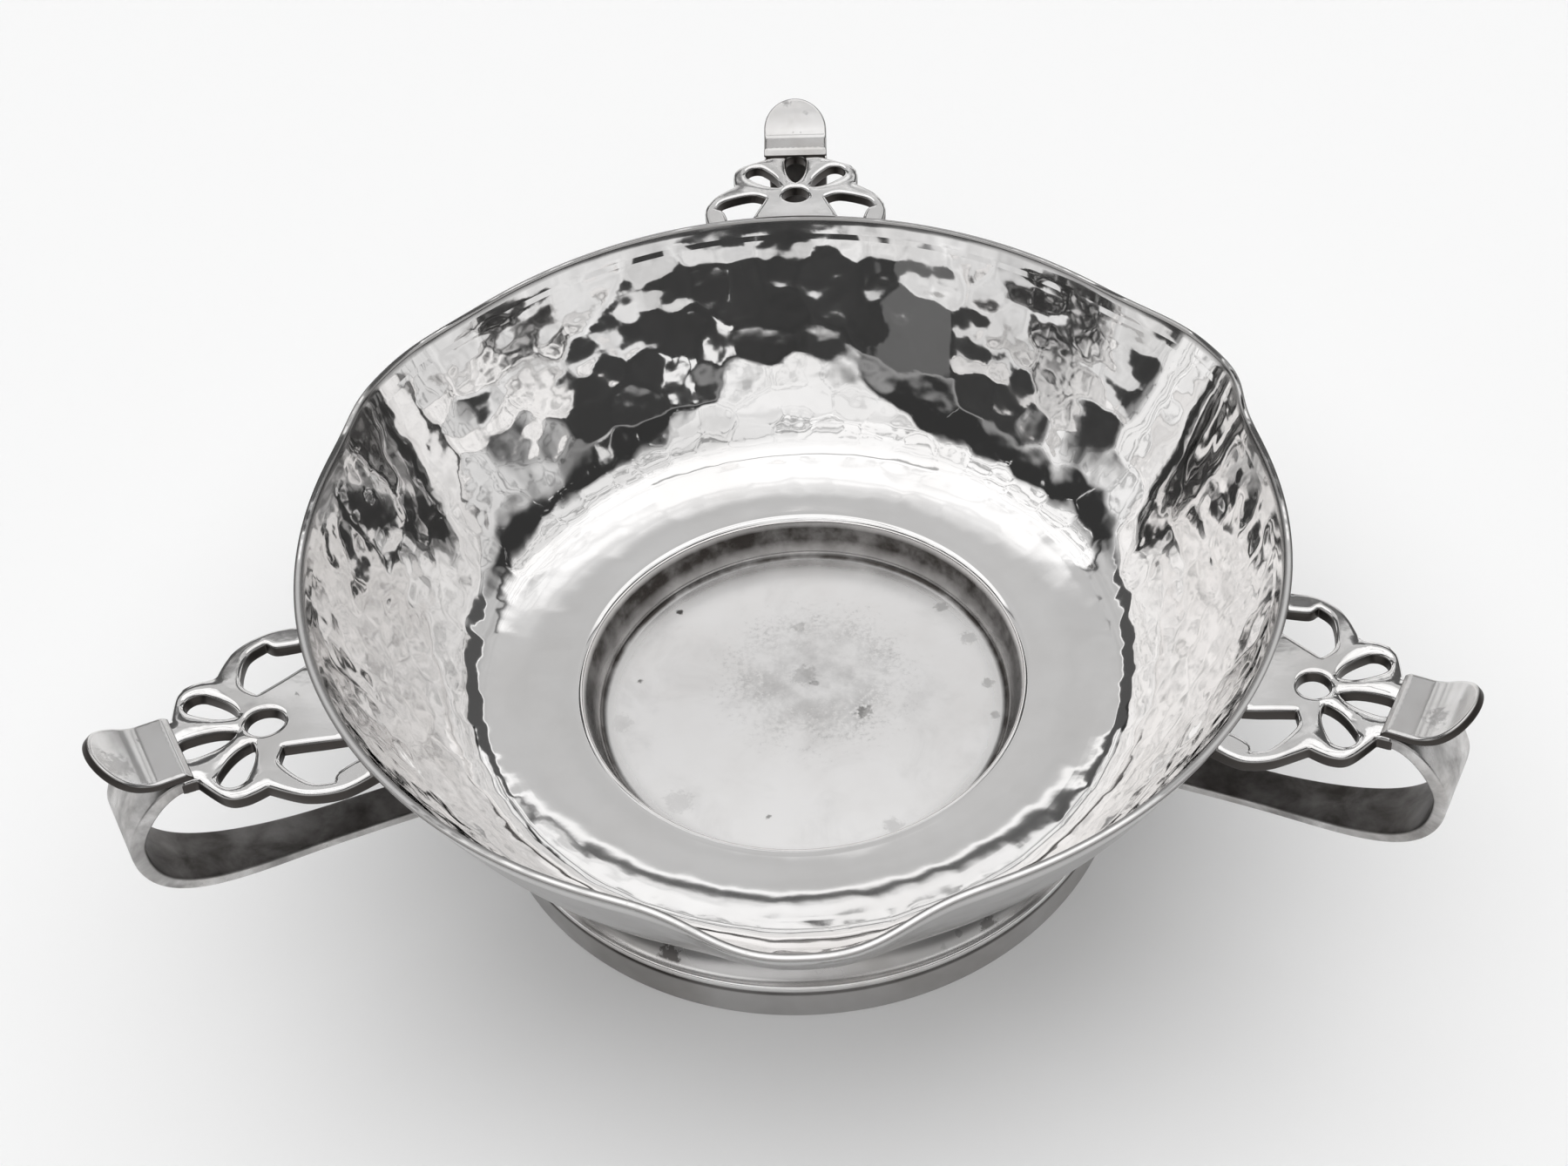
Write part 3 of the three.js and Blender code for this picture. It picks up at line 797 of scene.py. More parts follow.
# A patch is (noise, fade, strength), as patches takes them.
bowlFinish = dict(
    roughness=0.05,
    satinRoughness=0.27,
    satinUnevenness=((120, 4, 0.6), 0.12),
    stainRoughness=0.22,
    cloudScale=55,
    cloud=0.16,
    rippleScale=210,
    rippleDetail=1.2,
    rippleField="worked",
    ripple=0.10 * mm,
    poreScale=1500,
    pore=0.0006 * mm,
    smudgesAndShadeSpots=((80, 5, 0.65, 0.6), (0.45, 0.8), 0.14),
    cloudMiddle=(2.0, 5.0, 0, 15.0, 0.30),
    cloudPatches=((150, 4, 0.65), (0.3, 0.7), 1.0),
    # painted shade on the well's wall
    wellWallShade=0.72,
    wellWallShadePatches=((160, 4, 0.6), (0.2, 0.7), 0.28),
    outside=0.5,
    outsidePatches=((60, 4, 0.6), (0.4, 0.8), 0.25),
    # painted shade along the rim's edges
    rimShadeLine=0.7,
    spots=[
        (-22.5, 21.7, 0, 0.7, 0.9),
        (10.0, -3.4, 0, 1.5, 0.4),
        (-28.6, 5.4, 0, 0.5, 0.7),
        (-6.1, -25.1, 0, 0.5, 0.6),
        (-1.1, 17.0, 0, 1.1, 0.22),
        (-0.2, 5.3, 0, 2.4, 0.22),
        (1.5, 3.5, 0, 0.8, 0.3),
        (24.6, 20.7, 0, 1.3, 0.35),
        (31.7, 2.1, 0, 1.2, 0.35),
        (32.3, -5.2, 0, 1.0, 0.35),
        (-31.4, -4.0, 0, 2.2, 0.12),
        (-20.9, -21.4, 0, 2.6, 0.14),
        (29.0, 13.0, 0, 1.6, 0.25),
        (14.0, -28.0, 0, 1.8, 0.2),
        (-58.0, 2.0, 10.5, 1.2, 0.7),
        (51.0, 20.0, 9.5, 0.8, 0.8),
        (54.5, 14.5, 9.5, 0.7, 0.8),
    ],
)


# Stains and painted shade: brown clouds in the middle of the well, single spots, painted shade on
# the well's wall and along the rim's edges, and a dull outside.
def bowlStainsAndShade(start, place):
    v = bowlFinish
    middle = spots(place, [v["cloudMiddle"]]) * patches(place, *v["cloudPatches"])
    floor = attribute(start, "satin") * (patches(place, *v["smudgesAndShadeSpots"]) + middle)
    wall = patches(place, *v["wellWallShadePatches"]) + v["wellWallShade"]
    wall = attribute(start, "wellWallShade") * wall
    outside = patches(place, *v["outsidePatches"]) + v["outside"]
    outside = attribute(start, "outside") * outside
    rimShadeLine = attribute(start, "rimShadeLine") * v["rimShadeLine"]
    return (floor + spots(place, v["spots"])).larger(wall).larger(outside).larger(rimShadeLine)


# Unevenly satin on the well's floor, polished elsewhere.
def bowlRoughness(start, place):
    noise, strength = bowlFinish["satinUnevenness"]
    satin = place.noise(*noise) * strength + bowlFinish["satinRoughness"]
    return attribute(start, "satin").blend(bowlFinish["roughness"], satin)


makeBowl(bowl, silver("hammeredSilver", bowlFinish, bowlStainsAndShade, bowlRoughness))
print("bowl: ready")


foot = dict(
    around=288,
    bandThickness=2.0 * mm,
    flangeThickness=1.2 * mm,
    neckRadius=47.8 * mm,
    sheet=1.2 * mm,
    flangeSlope=16.0,
    neckSlope=82.0,
    edgeRound=0.35 * mm,
    overlap=0.4 * mm,
    sheetSteps=26,
    edgeSteps=([2, 2, 4], 5),
    bandSteps=([3, 3, 6, 3, 3], 5),
    waves=range(2, 9),
    phase=6.28,
    waveHeight=0.05 * mm,
    seed=5,
)


# A closed profile turned about Z, with slow waves, sum of cos(k angle) / k, that move the whole
# section in and out together.
def turnedRing(name, profile, v, material, node):
    angle = np.linspace(0, 2 * np.pi, v["around"], endpoint=False)[None, :]
    rng = np.random.default_rng(v["seed"])
    waves = sum(np.cos(k * angle + rng.uniform(0, v["phase"])) / k for k in v["waves"])
    radius = profile[:, :1] + waves * v["waveHeight"]
    height = profile[:, 1:] + 0 * angle
    points = np.stack([radius * np.cos(angle), radius * np.sin(angle), height], -1)
    faces = wrappedFaces(len(profile), v["around"], False)
    last = (len(profile) - 1) * v["around"]
    here = np.arange(v["around"])
    beside = np.roll(here, -1)
    faces += np.stack([last + here, here, beside, last + beside], -1).tolist()
    makePiece(name, points.reshape(-1, 3), faces, material, node)


# The spreading sheet: its outside and inside are bends from the neck to the flange, joined by the
# flange's rounded edge.
def ringProfile(v):
    share = np.linspace(0, 1, v["sheetSteps"])
    slopes = -v["neckSlope"], -v["flangeSlope"]
    top = neckTop + v["overlap"]
    flangeTop = (footRadius, bandTop + v["flangeThickness"])
    flangeInside = (footRadius - v["bandThickness"], bandTop)
    outside = bend((v["neckRadius"], top), slopes[0], flangeTop, slopes[1], share)
    neckInside = (v["neckRadius"] - v["sheet"], top)
    inside = bend(neckInside, slopes[0], flangeInside, slopes[1], share)
    corners = [outside[-3], flangeTop, (footRadius, bandTop), inside[-1]]
    edge = roundedPath(corners, [0, v["edgeRound"], v["edgeRound"], 0], *v["edgeSteps"])
    return np.vstack([outside[:-3], edge[:-1], inside[::-1]])


# The band: a tall thin rectangle with rounded corners.
def bandProfile(v):
    inner, r = footRadius - v["bandThickness"], v["edgeRound"]
    middle = (tableHeight + bandTop) / 2
    corners = [(inner, middle), (inner, bandTop), (footRadius, bandTop)]
    corners += [(footRadius, tableHeight), (inner, tableHeight), (inner, middle)]
    return roundedPath(corners, [0, r, r, r, r, 0], *v["bandSteps"])[:-1]


footFinish = dict(
    roughness=0.15,
    stainRoughness=0.25,
    cloudScale=42,
    cloud=0.6,
    rippleScale=150,
    ripple=0.02 * mm,
    poreScale=1300,
    pore=0.001 * mm,
    haze=0.41,
    hazePatches=((26, 4, 0.6, 0.3), (0.3, 0.75), 0.25),
    polish=0.85,                                # at the height of the flange's edge
    polishLine=(1.1 * mm, 0.5 * mm, 0.25 * mm),
    spots=[
        (-21.8, -48.8, -3.5, 2.6, 0.9),
        (-23.7, -44.4, 0, 1.0, 0.6),
        (38.1, -40.0, -2.5, 1.8, 0.9),
        (23.3, -46.3, -3.5, 0.9, 0.7),
        (28.2, -44.9, -4, 2.0, 0.8),
        (20.9, -48.5, -4, 0.8, 0.6),
        (-41.0, 31.0, -2, 2.0, 0.7),
        (8.0, 51.0, -3, 1.4, 0.7),
    ],
)

bandFinish = dict(
    footFinish,
    roughness=0.24,
    dullness=0.02,
    corner=0.4,
    cornerFade=(0.9 * mm, 0.3 * mm),
)


# Tarnish: single dark spots over a thin uneven haze, and a polished line round the flange.
def footStains(start, place):
    v = footFinish
    haze = patches(place, *v["hazePatches"]) + v["haze"]
    middle, halfWidth, soft = v["polishLine"]
    polished = place.xyz()[2].stripe(bandTop + middle, halfWidth, soft)
    return haze.larger(spots(place, v["spots"])) * (1 - polished * v["polish"])


# The band is duller, most of all in the corner under the flange.
def bandStains(start, place):
    corner = place.xyz()[2].rise(*(bandTop - reach for reach in bandFinish["cornerFade"]))
    return footStains(start, place) + corner * bandFinish["corner"] + bandFinish["dullness"]


footSilver = silver("footSilver", footFinish, footStains)
bandSilver = silver("bandSilver", bandFinish, bandStains)
turnedRing("footRing", ringProfile(foot), foot, footSilver, "foot_ring")
turnedRing("footBand", bandProfile(foot), foot, bandSilver, "foot_band")
print("foot: ready")


# A smooth curve through points: each stretch is a cubic that leaves a point parallel to the line
# between its neighbours.
def through(points, steps=9):
    points = np.array(points, float)
    padded = np.vstack([points[:1], points, points[-1:]])
    t = np.linspace(0, 1, steps, endpoint=False)[:, None]
    stretches = []
    for i in range(len(points) - 1):
        a, b, c, d = padded[i:i + 4]
        squared = (2 * a - 5 * b + 4 * c - d) * t ** 2
        cubed = (3 * b - a - 3 * c + d) * t ** 3
        stretches.append(0.5 * (2 * b + (c - a) * t + squared + cubed))
    return np.vstack(stretches)


# Evenly spaced points from a towards b, without b itself.
def line(a, b, steps):
    share = np.linspace(0, 1, steps, endpoint=False)[:, None]
    return np.array(a) + (np.array(b) - np.array(a)) * share


# Distance from each point to the nearest of the segments.
def distanceTo(points, a, b):
    along = b - a
    offset = points[:, None, :] - a[None]
    share = np.clip((offset * along).sum(-1) / (along ** 2).sum(-1), 0, 1)
    return np.linalg.norm(offset - share[..., None] * along, axis=-1).min(1)


# Whether each point has an odd number of segments to its right.
def isInside(points, a, b):
    x, y = points[:, None, 0], points[:, None, 1]
    crosses = (a[:, 1] > y) != (b[:, 1] > y)
    rise = np.where(b[:, 1] == a[:, 1], 1.0, b[:, 1] - a[:, 1])
    place = (b[:, 0] - a[:, 0]) * (y - a[:, 1]) / rise + a[:, 0]
    return (crosses & (x < place)).sum(1) % 2 == 1


# How far a rounded edge's face lies back at a distance from the edge: r - sqrt(2rd - dd), a quarter
# circle, and 0 further in than r.
def rounding(distance, r):
    back = r - np.sqrt(np.clip(2 * r * distance - distance ** 2, 0, None))
    return np.where(distance < r, back, 0)


sheetMesh = dict(
    rings=(0.076, 0.293, 0.617, 1.0, 1.5),   # rows of points along the edges, in rounding radii
    rowHeight=0.87,                          # of the points between, in spacings
    clearance=0.93,
    # how far the painted shade on the cut walls reaches onto the top face
    cutShadeWidth=0.1 * mm,
    tolerance=1e-9,
)


# A sheet cut along contours, the outer one counter-clockwise and the holes clockwise: rows of
# points along the edges, a lattice between them, a triangulation of both, and the same below.
def cutSheet(contours, isSquare, thickness, topRound, bottomRound, spacing, creases=None):
    m = sheetMesh
    starts = np.vstack(contours)
    ends = np.vstack([np.roll(contour, -1, axis=0) for contour in contours])
    counts = [len(contour) for contour in contours]
    first = np.concatenate([[0], np.cumsum(counts)[:-1]])
    following = np.concatenate([at + (np.arange(n) + 1) % n for at, n in zip(first, counts)])
    before = np.concatenate([at + (np.arange(n) - 1) % n for at, n in zip(first, counts)])
    along = ends - starts[before]
    along /= np.linalg.norm(along, axis=1)[:, None]
    inward = np.stack([-along[:, 1], along[:, 0]], 1)
    steps = topRound * np.array(m["rings"])
    rings = np.vstack([starts + inward * step for step in steps])
    low, high = starts.min(0), starts.max(0)
    columns = np.arange(low[0], high[0], spacing)
    rows = np.arange(low[1], high[1], spacing * m["rowHeight"])
    gridX, gridY = np.meshgrid(columns, rows)
    gridX = gridX + spacing / 2 * (np.arange(len(gridX)) % 2)[:, None]
    lattice = np.stack([gridX.ravel(), gridY.ravel()], 1)
    places = np.vstack([rings, lattice])
    latticeClearance = steps[-1] + spacing * 0.5
    clearance = np.concatenate([
        np.repeat(steps, len(starts)) * m["clearance"],
        np.full(len(lattice), latticeClearance),
    ])
    keep = (distanceTo(places, starts, ends) > clearance) & isInside(places, starts, ends)
    creases = np.empty((0, 2)) if creases is None else creases
    flat = np.vstack([starts, places[keep], creases])
    edges = np.stack([np.arange(len(starts)), following], 1).tolist()
    points = [Vector(p) for p in flat.tolist()]
    found = delaunay_2d_cdt(points, edges, [], 0, m["tolerance"], True)
    flat = np.array([tuple(p) for p in found[0]])
    origins = found[3]
    newIndex = np.empty(sum(len(o) for o in origins), int)
    newIndex[np.concatenate(origins).astype(int)] = np.repeat(
        np.arange(len(flat)), [len(o) for o in origins]
    )
    triangles = np.array(found[2])
    triangles = triangles[isInside(flat[triangles].mean(1), starts, ends)]
    rounded = ~isSquare(starts, ends)
    edge = distanceTo(flat, starts[rounded], ends[rounded])
    top = np.column_stack([flat, -rounding(edge, topRound)])
    under = np.column_stack([flat, rounding(edge, bottomRound) - thickness])
    rim = distanceTo(flat, starts, ends)
    # painted shade: full on the cut walls and the whole underside, fading out on the top face
    cutAndUnderShade = np.concatenate([1 - smoothStep(rim, 0.0, m["cutShadeWidth"]), np.ones(len(flat))])
    here, there = newIndex[np.arange(len(starts))], newIndex[following]
    count = len(flat)
    faces = triangles.tolist() + (triangles[:, ::-1] + count).tolist()
    faces += np.stack([here, here + count, there + count, there], -1).tolist()
    return np.vstack([top, under]), faces, {"cutAndUnderShade": cutAndUnderShade, "rim": np.concatenate([rim, rim])}


# From a handle's own frame (outwards, across, up, from the rim's outer edge) to the bowl's: leaned
# by the tilt, moved out to the rim, then turned about Z.
def seated(points, angle, tilt):
    turn, lean = np.radians([angle, tilt])
    out = rimRadius + points[:, 0] * np.cos(lean) - points[:, 2] * np.sin(lean)
    up = rimHeight + points[:, 0] * np.sin(lean) + points[:, 2] * np.cos(lean)
    x = out * np.cos(turn) - points[:, 1] * np.sin(turn)
    y = out * np.sin(turn) + points[:, 1] * np.cos(turn)
    return np.stack([x, y, up], 1)


# Each handle is (name, direction in degrees, extra half width at the root, share of the carving).
handles = [
    ("back", 89.6, 0.0, 0.3),
    ("left", 210.0, 0.1 * mm, 0.7),
    ("right", 330.0, 0.5 * mm, 1.1),
]
tilt = 5.7

# A pair of lengths is a point of the outline, outwards and across, unless its name ends in fade.
plate = dict(
    thickness=2.3 * mm,
    length=19.8 * mm,
    rootHalfWidth=15.9 * mm,
    lobe=(2.2 * mm, 16.6 * mm),
    lobeTurn=(6.6 * mm, 15.1 * mm),
    cusp=(10.2 * mm, 11.3 * mm),
    outerLobe=(13.4 * mm, 11.6 * mm),
    outerTurn=(15.7 * mm, 10.4 * mm),
    shoulder=(17.9 * mm, 5.9 * mm),
    endHalfWidth=5.8 * mm,
    tongue=(2.8 * mm, 6.7 * mm),
    tongueRoot=8.0 * mm,
    tongueSteps=22,
    openingTip=(6.3 * mm, 5.5 * mm),
    openingTurn=(7.4 * mm, 8.35 * mm),
    openingOuter=(5.4 * mm, 13.2 * mm),
    notch=(2.8 * mm, 14.6 * mm),
    limbStep=(1.8 * mm, 13.2 * mm),
    limbRoot=12.2 * mm,
    eyeOut=7.0 * mm,
    eyeRadius=2.45 * mm,
    eyeSteps=48,
    petals=(-48, 0, 48),
    petalStart=3.8 * mm,
    petalEnd=11.8 * mm,
    petalHalfWidth=1.9 * mm,
    petalFlare=1.6 * mm,
    petalSteps=(14, 20),
    topRound=0.55 * mm,
    bottomRound=0.3 * mm,
    sunk=0.35 * mm,
    rootTolerance=0.02 * mm,
    spacing=0.75 * mm,
    rimFade=(-1 * mm, 9 * mm),         # how far out the rim's form reaches
    leanFade=(-2 * mm, 2 * mm),
    widenFade=(2 * mm, 15 * mm),
    dish=0.07 * mm,
    dishWaves=(5.3 * mm, 4.7 * mm),
    carving=0.26 * mm,
    carvingReach=1.6 * mm,
    carvingFade=(7 * mm, 12 * mm),
)


# A point of the root, where the plate meets the wall: on a circle just inside the rim's outer edge.
def rootPoint(half, v):
    return (np.sqrt((rimRadius - v["sunk"]) ** 2 - half ** 2) - rimRadius, half)


# The outer edge: half of it from the tongue's root round the opening, the lobes and the end, then
# mirrored.
def plateEdge(v):
    limbRoot = rootPoint(v["limbRoot"], v)
    lobeRoot = rootPoint(v["rootHalfWidth"], v)
    end = (v["length"], v["endHalfWidth"])
    tip = (v["length"], 0.0)
    half = np.vstack([
        through([rootPoint(v["tongueRoot"], v), v["tongue"], v["openingTip"]]),
        through([v["openingTip"], v["openingTurn"], v["openingOuter"], v["notch"]]),
        through([v["notch"], v["limbStep"], limbRoot], steps=6),
        line(limbRoot, lobeRoot, steps=8),
        through([lobeRoot, v["lobe"], v["lobeTurn"], v["cusp"]], steps=12),
        through([v["cusp"], v["outerLobe"], v["outerTurn"], v["shoulder"]]),
        line(v["shoulder"], end, steps=5),
        line(end, tip, steps=10),
        [tip],
    ])
    other = half[:-1][::-1] * (1, -1)
    across = np.linspace(-v["tongueRoot"], v["tongueRoot"], v["tongueSteps"])[1:-1]
    root = np.stack(rootPoint(across, v), 1)
    return np.vstack([half, other, root])[::-1]


# A petal that points at the eye: two flaring sides and a half circle.
def petalEdge(turn, v):
    h, middle = v["petalHalfWidth"], v["petalEnd"] - v["petalHalfWidth"]
    flare = v["petalStart"] + v["petalFlare"]
    sideSteps, endSteps = v["petalSteps"]
    share = np.linspace(0, 1, sideSteps, endpoint=False)[:, None]
    point = (v["petalStart"], 0.0)
    side = bezier([point, (flare, h), (middle, h)], share)
    a = np.linspace(np.pi / 2, -np.pi / 2, endSteps, endpoint=False)
    end = np.stack([middle + h * np.cos(a), h * np.sin(a)], 1)
    back = bezier([(middle, -h), (flare, -h), point], share)
    edge = np.vstack([side, end, back])
    c, s = np.cos(np.radians(turn)), np.sin(np.radians(turn))
    return edge @ np.array([[c, s], [-s, c]]) + (v["eyeOut"], 0)


# The eye: a circle, clockwise.
def eyeEdge(v):
    a = np.linspace(0, -2 * np.pi, v["eyeSteps"], endpoint=False)
    return np.stack([v["eyeOut"] + v["eyeRadius"] * np.cos(a), v["eyeRadius"] * np.sin(a)], 1)


# The plate's root follows the bowl's uneven rim and leaning wall. Further out the face falls softly
# towards every edge, so the ribs between the petals are round, and it dips and rises a little.
def fitPlate(points, rimDistance, angle, widen, carve, v):
    x, y, z = points.T
    direction = np.radians(angle) + np.arctan2(y, rimRadius + x)
    reach, _ = rimForm(direction, rim)
    near = 1 - smoothStep(x, *v["rimFade"])
    lean = z / np.tan(np.radians(bowl["rimSlope"])) * (1 - smoothStep(x, *v["leanFade"]))
    outWave, acrossWave = v["dishWaves"]
    wave = np.sin(x / outWave + angle) * np.cos(y / acrossWave + 2 * angle)
    y = y + np.sign(y) * widen * near * smoothStep(np.abs(y), *v["widenFade"])
    carved = carve * v["carving"] * (1 - smoothStep(rimDistance, 0, v["carvingReach"]))
    z = z - carved * smoothStep(x, *v["carvingFade"]) + v["dish"] * wave * (1 - near)
    return np.stack([x + reach * near + lean, y, z], 1)


# Whether each segment of the plate's outline is at its root, which stays square.
def isRoot(a, b):
    middle = (a + b) / 2
    away = np.hypot(middle[:, 0] + rimRadius, middle[:, 1])
    return away < rimRadius - plate["sunk"] + plate["rootTolerance"]


# No segment stays square.
def isNowhere(a, b):
    return np.zeros(len(a), bool)


plateFinish = dict(
    roughness=0.09,
    stainRoughness=0.3,
    cloudScale=90,
    cloud=0.25,
    rippleScale=170,
    ripple=0.02 * mm,
    poreScale=1400,
    pore=0.0015 * mm,
    specks=((700, 2, 0.5), (0.70, 0.78), 0.25),
    dirtAndShade=((110, 4, 0.6, 0.5), (0.6, 0.75), 0.2),
    # painted shadow and painted reflection spots on the tabs
    smudgesAndShadeSpots=[
        (86.6, -51.7, 49.5, 2.2, 0.3),
        (89.8, -50.7, 52.0, 1.0, 0.35),
        (-0.9, 104.3, 53.5, 1.1, 0.35),
        (2.9, 102.8, 52.0, 0.8, 0.3),
        (-87.7, -52.9, 51.5, 2.4, 0.22),
        (-90.3, -51.3, 52.5, 1.2, 0.3),
    ],
)


# Fine specks, a little dirt in soft patches, painted shadow and reflection spots on the tabs, and
# painted shade on the cut walls and the whole underside.
def plateStainsAndShade(start, place):
    v = plateFinish
    dirtAndShade = patches(place, *v["specks"]) + patches(place, *v["dirtAndShade"]) + spots(place, v["smudgesAndShadeSpots"])
    return dirtAndShade.larger(attribute(start, "cutAndUnderShade"))


# The tab is a tongue of sheet, laid out flat: square at its inner end and round at its tip.
tab = dict(
    start=18.1 * mm,
    level=0.57 * mm,
    halfWidth=5.9 * mm,
    thickness=1.3 * mm,
    chamfer=0.9 * mm,
    tipOut=29.2 * mm,
    tipRise=5.1 * mm,
    flat=4.0 * mm,
    curl=47.0,
    round=6.0 * mm,
    topRound=0.42 * mm,
    bottomRound=0.25 * mm,
    spacing=0.6 * mm,
    levelSteps=20,
    curlSteps=60,
    tipSteps=56,
    creaseSteps=40,
)


# The tab's middle line: level, then a bend up to the tip.
def tabLine(v):
    flatEnd = (v["start"] + v["flat"], v["level"])
    straight = np.linspace((v["start"], v["level"]), flatEnd, v["levelSteps"])
    share = np.linspace(0, 1, v["curlSteps"])
    curl = bend(flatEnd, 0.0, (v["tipOut"], v["tipRise"]), v["curl"], share)
    return np.vstack([straight, curl[1:]])


# The tip's half width is halfWidth * sqrt(1 - p * p), with p from 0 to 1 over the last stretch.
def tabEdge(length, v):
    h = v["halfWidth"]
    a = np.linspace(-np.pi / 2, np.pi / 2, v["tipSteps"], endpoint=False)
    tip = np.stack([length - v["round"] + v["round"] * np.cos(a), h * np.sin(a)], 1)
    return np.vstack([
        line((0.0, -h), (length - v["round"], -h), steps=24),
        tip,
        line((length - v["round"], h), (0.0, h), steps=24),
        line((0.0, h), (0.0, -h), steps=36),
    ])


# Points at the given height along a path's normals, where the path's run has the given value.
def offPath(share, up, run, path):
    normals = leftNormals(path)
    x = np.interp(share, run, path[:, 0]) + up * np.interp(share, run, normals[:, 0])
    z = np.interp(share, run, path[:, 1]) + up * np.interp(share, run, normals[:, 1])
    return x, z


# The tab's mesh: a flat sheet with a chamfer at its inner end, bent along the middle line.
def makeTab(v):
    path = tabLine(v)
    run = pathLength(path)
    creaseAcross = np.linspace(-v["halfWidth"], v["halfWidth"], v["creaseSteps"])[1:-1]
    crease = np.stack([np.full(len(creaseAcross), v["chamfer"]), creaseAcross], 1)
    points, faces, fields = cutSheet(
        [tabEdge(run[-1], v)], isNowhere,
        v["thickness"], v["topRound"], v["bottomRound"], v["spacing"], crease,
    )
    along, across, up = points.T
    up = up + v["thickness"] / 2
    chamfered = np.minimum(up, v["thickness"] / 2 - v["chamfer"] + along)
    up = np.where(up > 0, chamfered, up)
    x, z = offPath(along, up, run, path)
    return np.stack([x, across, z], 1), faces, fields


tabFinish = dict(plateFinish, roughness=0.1, cloud=0.55, cloudScale=70, dullness=0.16)


# The tabs are duller than the plates, with the plates' stains and painted shade.
def tabStainsAndShade(start, place):
    return plateStainsAndShade(start, place) + tabFinish["dullness"]


strap = dict(
    rows=150,
    curveSteps=160,
    cornerPoints=5,
    facePoints=11,
    tries=600,
    topThickness=2.0 * mm,
    thickness=1.6 * mm,
    topHalfWidth=5.8 * mm,
    endHalfWidth=3.4 * mm,
    taper=(0.15, 0.75),
    underPlate=0.15 * mm,
    overlap=0.4 * mm,
    reach=27.2 * mm,
    turnDrop=10.2 * mm,
    legDrop=26.0 * mm,
    legSlope=5.0,
    shoulder=3.9 * mm,
    turnAbove=2.9 * mm,
    turnBelow=15.3 * mm,
    legRun=19.4 * mm,
    legEnd=-9.1 * mm,
    sunk=7.0 * mm,
    edgeRound=0.35 * mm,
    intoWall=0.35 * mm,
)


# The strap's middle line: two cubic curves, then straight on into the wall.
def strapLine(v):
    level = -v["topThickness"] / 2 - v["underPlate"]
    start = (plate["length"] - v["overlap"], level)
    turn = (v["reach"], -v["turnDrop"])
    inward = -np.array([np.cos(np.radians(v["legSlope"])), np.sin(np.radians(v["legSlope"]))])
    end = np.array([v["legEnd"], -v["legDrop"]])
    share = np.linspace(0, 1, v["curveSteps"])[:, None]
    above = (turn[0], turn[1] + v["turnAbove"])
    below = (turn[0], turn[1] - v["turnBelow"])
    over = bezier([start, (start[0] + v["shoulder"], level), above, turn], share)
    back = bezier([turn, below, end - inward * v["legRun"], end], share)
    return np.vstack([over, back[1:], end + inward * v["sunk"] * share[1:]])


# The outer wall's radius at a direction and a height over the well's floor.
def wallRadius(direction, height):
    outside, _, _ = wallCurves(bowl, np.linspace(0, 1, bowl["wallSamples"]))
    reach, _ = rimForm(direction, rim)
    raised = np.clip((height - outside[0, 1]) / (rimHeight - outside[0, 1]), 0, 1)
    return np.interp(height, outside[:, 1], outside[:, 0]) + raised * reach


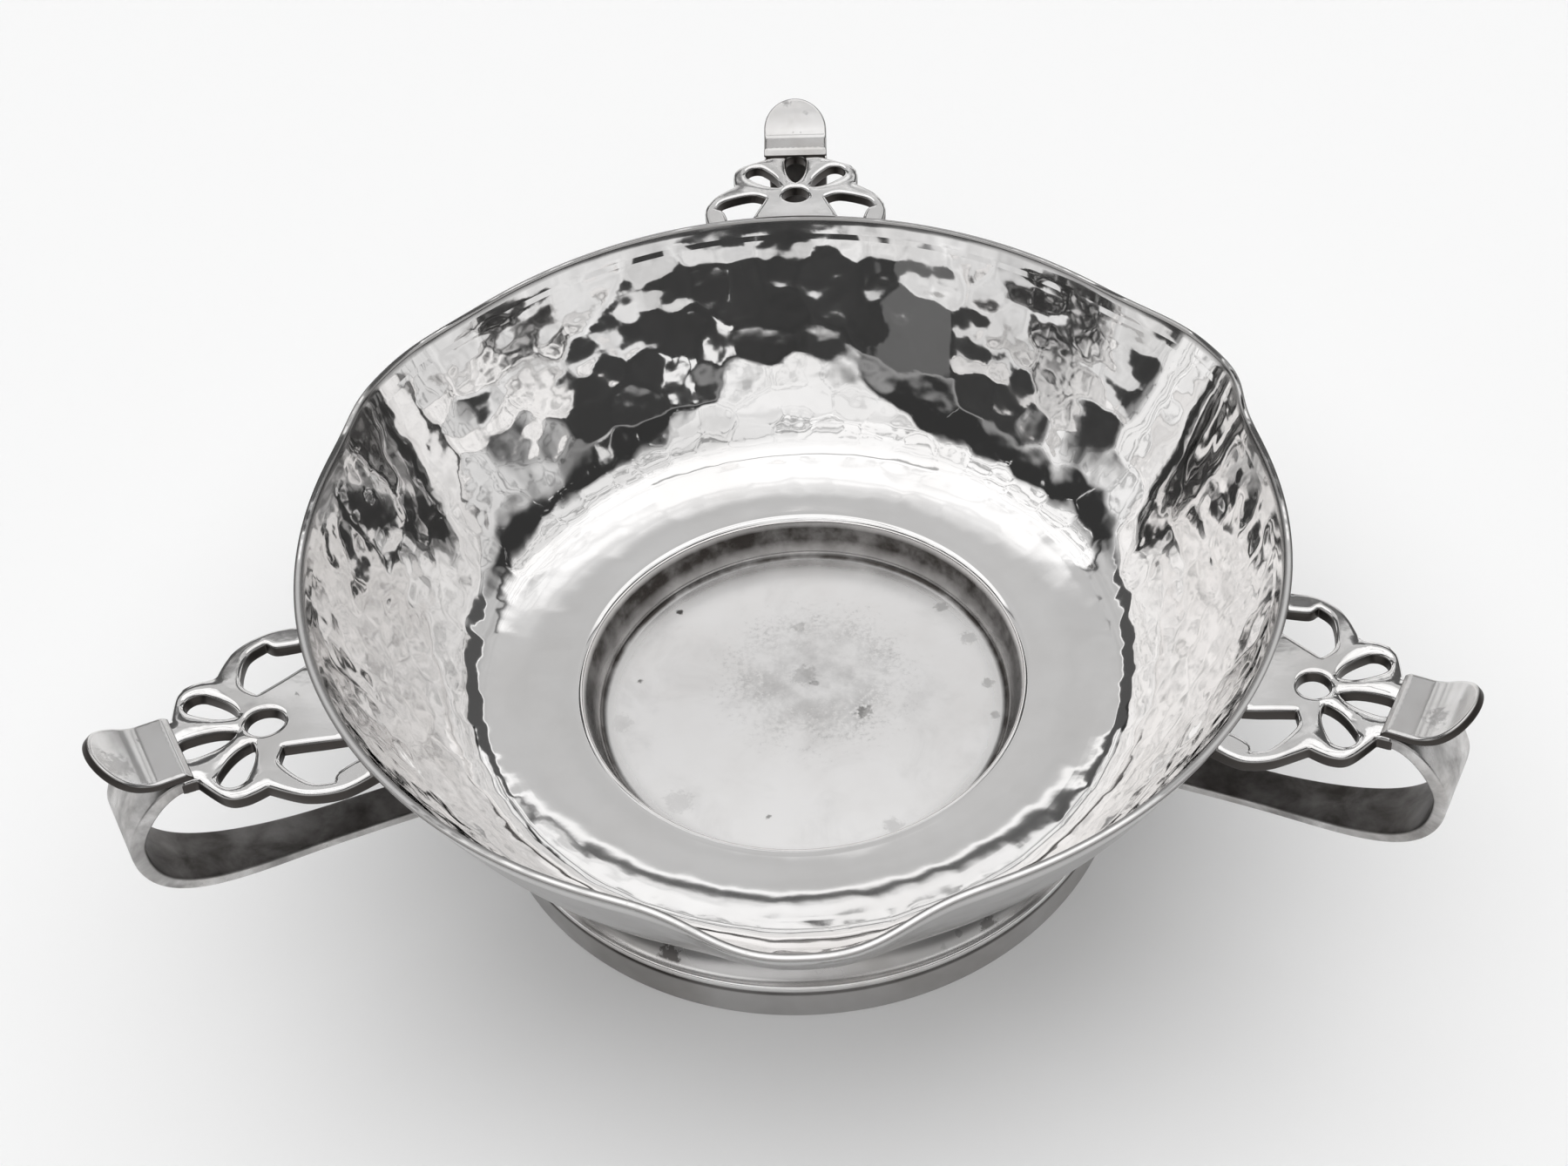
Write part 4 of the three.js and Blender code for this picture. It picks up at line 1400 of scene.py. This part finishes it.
# A rounded rectangle swept along the strap's line. Each of its lengthwise lines stops where it
# meets the bowl's wall.
def makeStrap(name, angle, v, material):
    path = strapLine(v)
    run = pathLength(path)
    run /= run[-1]
    corner, face = v["cornerPoints"], v["facePoints"]
    a = np.linspace(0, np.pi / 2, corner)
    arc = np.stack([np.cos(a), np.sin(a)], 1)
    flat = np.linspace(-1, 1, face + 2)[1:-1]
    ones = np.ones(corner)
    across = np.concatenate([ones, -flat, -ones, -ones, flat, ones])
    above = np.repeat([1.0, -1.0], 2 * corner + face)
    offset = np.vstack([
        arc,
        np.tile([0, 1], (face, 1)),
        arc[::-1] * (-1, 1),
        arc * (-1, -1),
        np.tile([0, -1], (face, 1)),
        arc[::-1] * (1, -1),
    ]) * v["edgeRound"]

    def place(share):
        narrowing = smoothStep(share, *v["taper"])
        width = v["topHalfWidth"] + (v["endHalfWidth"] - v["topHalfWidth"]) * narrowing
        deep = v["topThickness"] + (v["thickness"] - v["topThickness"]) * narrowing
        side = across * (width - v["edgeRound"]) + offset[:, 0]
        up = above * (deep / 2 - v["edgeRound"]) + offset[:, 1]
        x, z = offPath(share, up, run, path)
        points = np.stack([x, side, z], -1).reshape(-1, 3)
        return seated(points, angle, tilt).reshape(x.shape + (3,))

    # where each line meets the wall, found by trying points along its second half
    shares = np.linspace(0.5, 1, v["tries"])[:, None] + 0 * across
    points = place(shares)
    radius = np.hypot(points[..., 0], points[..., 1])
    direction = np.arctan2(points[..., 1], points[..., 0])
    outside = radius > wallRadius(direction, points[..., 2]) - v["intoWall"]
    last = np.clip(outside.sum(0) - 1, 0, v["tries"] - 1)
    stops = shares[last, np.arange(len(across))]
    points = place(np.linspace(0, 1, v["rows"])[:, None] * stops).reshape(-1, 3)
    columns = len(across)
    faces = wrappedFaces(v["rows"], columns, False)
    start, end = np.arange(columns), np.arange(columns) + (v["rows"] - 1) * columns
    faces += [start.tolist(), end[::-1].tolist()]
    # painted shade on the strap's inner face
    inner = np.tile(np.clip(-offset[:, 1] / v["edgeRound"], 0, 1), v["rows"])
    node = "handle_strap_" + name
    piece = "strap" + name.title()
    makePiece(piece, points, faces, material, node, {"inner": inner})


strapFinish = dict(
    plateFinish,
    roughness=0.14,
    cloud=0.5,
    # painted shade on the strap's inner face
    inner=0.80,
    innerShadePatches=((150, 5, 0.6, 0.3), (0.2, 0.8), 0.22),
    outer=0.25,
    outerPatches=((110, 5, 0.65, 0.4), (0.25, 0.75), 0.55),
)


# The strap's inner face is nearly black with painted shade, and the outer face has a light mottled
# tarnish.
def strapStainsAndShade(start, place):
    v = strapFinish
    inner = patches(place, *v["innerShadePatches"]) + v["inner"]
    outer = patches(place, *v["outerPatches"]) + v["outer"]
    return attribute(start, "inner").blend(outer, inner)


plateSilver = silver("plateSilver", plateFinish, plateStainsAndShade)
tabSilver = silver("tabSilver", tabFinish, tabStainsAndShade)
strapSilver = silver("strapSilver", strapFinish, strapStainsAndShade)
contours = [plateEdge(plate), eyeEdge(plate)]
contours += [petalEdge(turn, plate) for turn in plate["petals"]]
flatPlate, plateFaces, plateFields = cutSheet(
    contours, isRoot,
    plate["thickness"], plate["topRound"], plate["bottomRound"], plate["spacing"],
)
bentTab, tabFaces, tabFields = makeTab(tab)
for name, angle, widen, carve in handles:
    title = name.title()
    points = fitPlate(flatPlate, plateFields["rim"], angle, widen, carve, plate)
    points = seated(points, angle, tilt)
    node = "handle_plate_" + name
    makePiece("plate" + title, points, plateFaces, plateSilver, node, plateFields)
    points = seated(bentTab, angle, tilt)
    node = "thumb_tab_" + name
    makePiece("tab" + title, points, tabFaces, tabSilver, node, tabFields)
    makeStrap(name, angle, strap, strapSilver)
print("handles: ready")
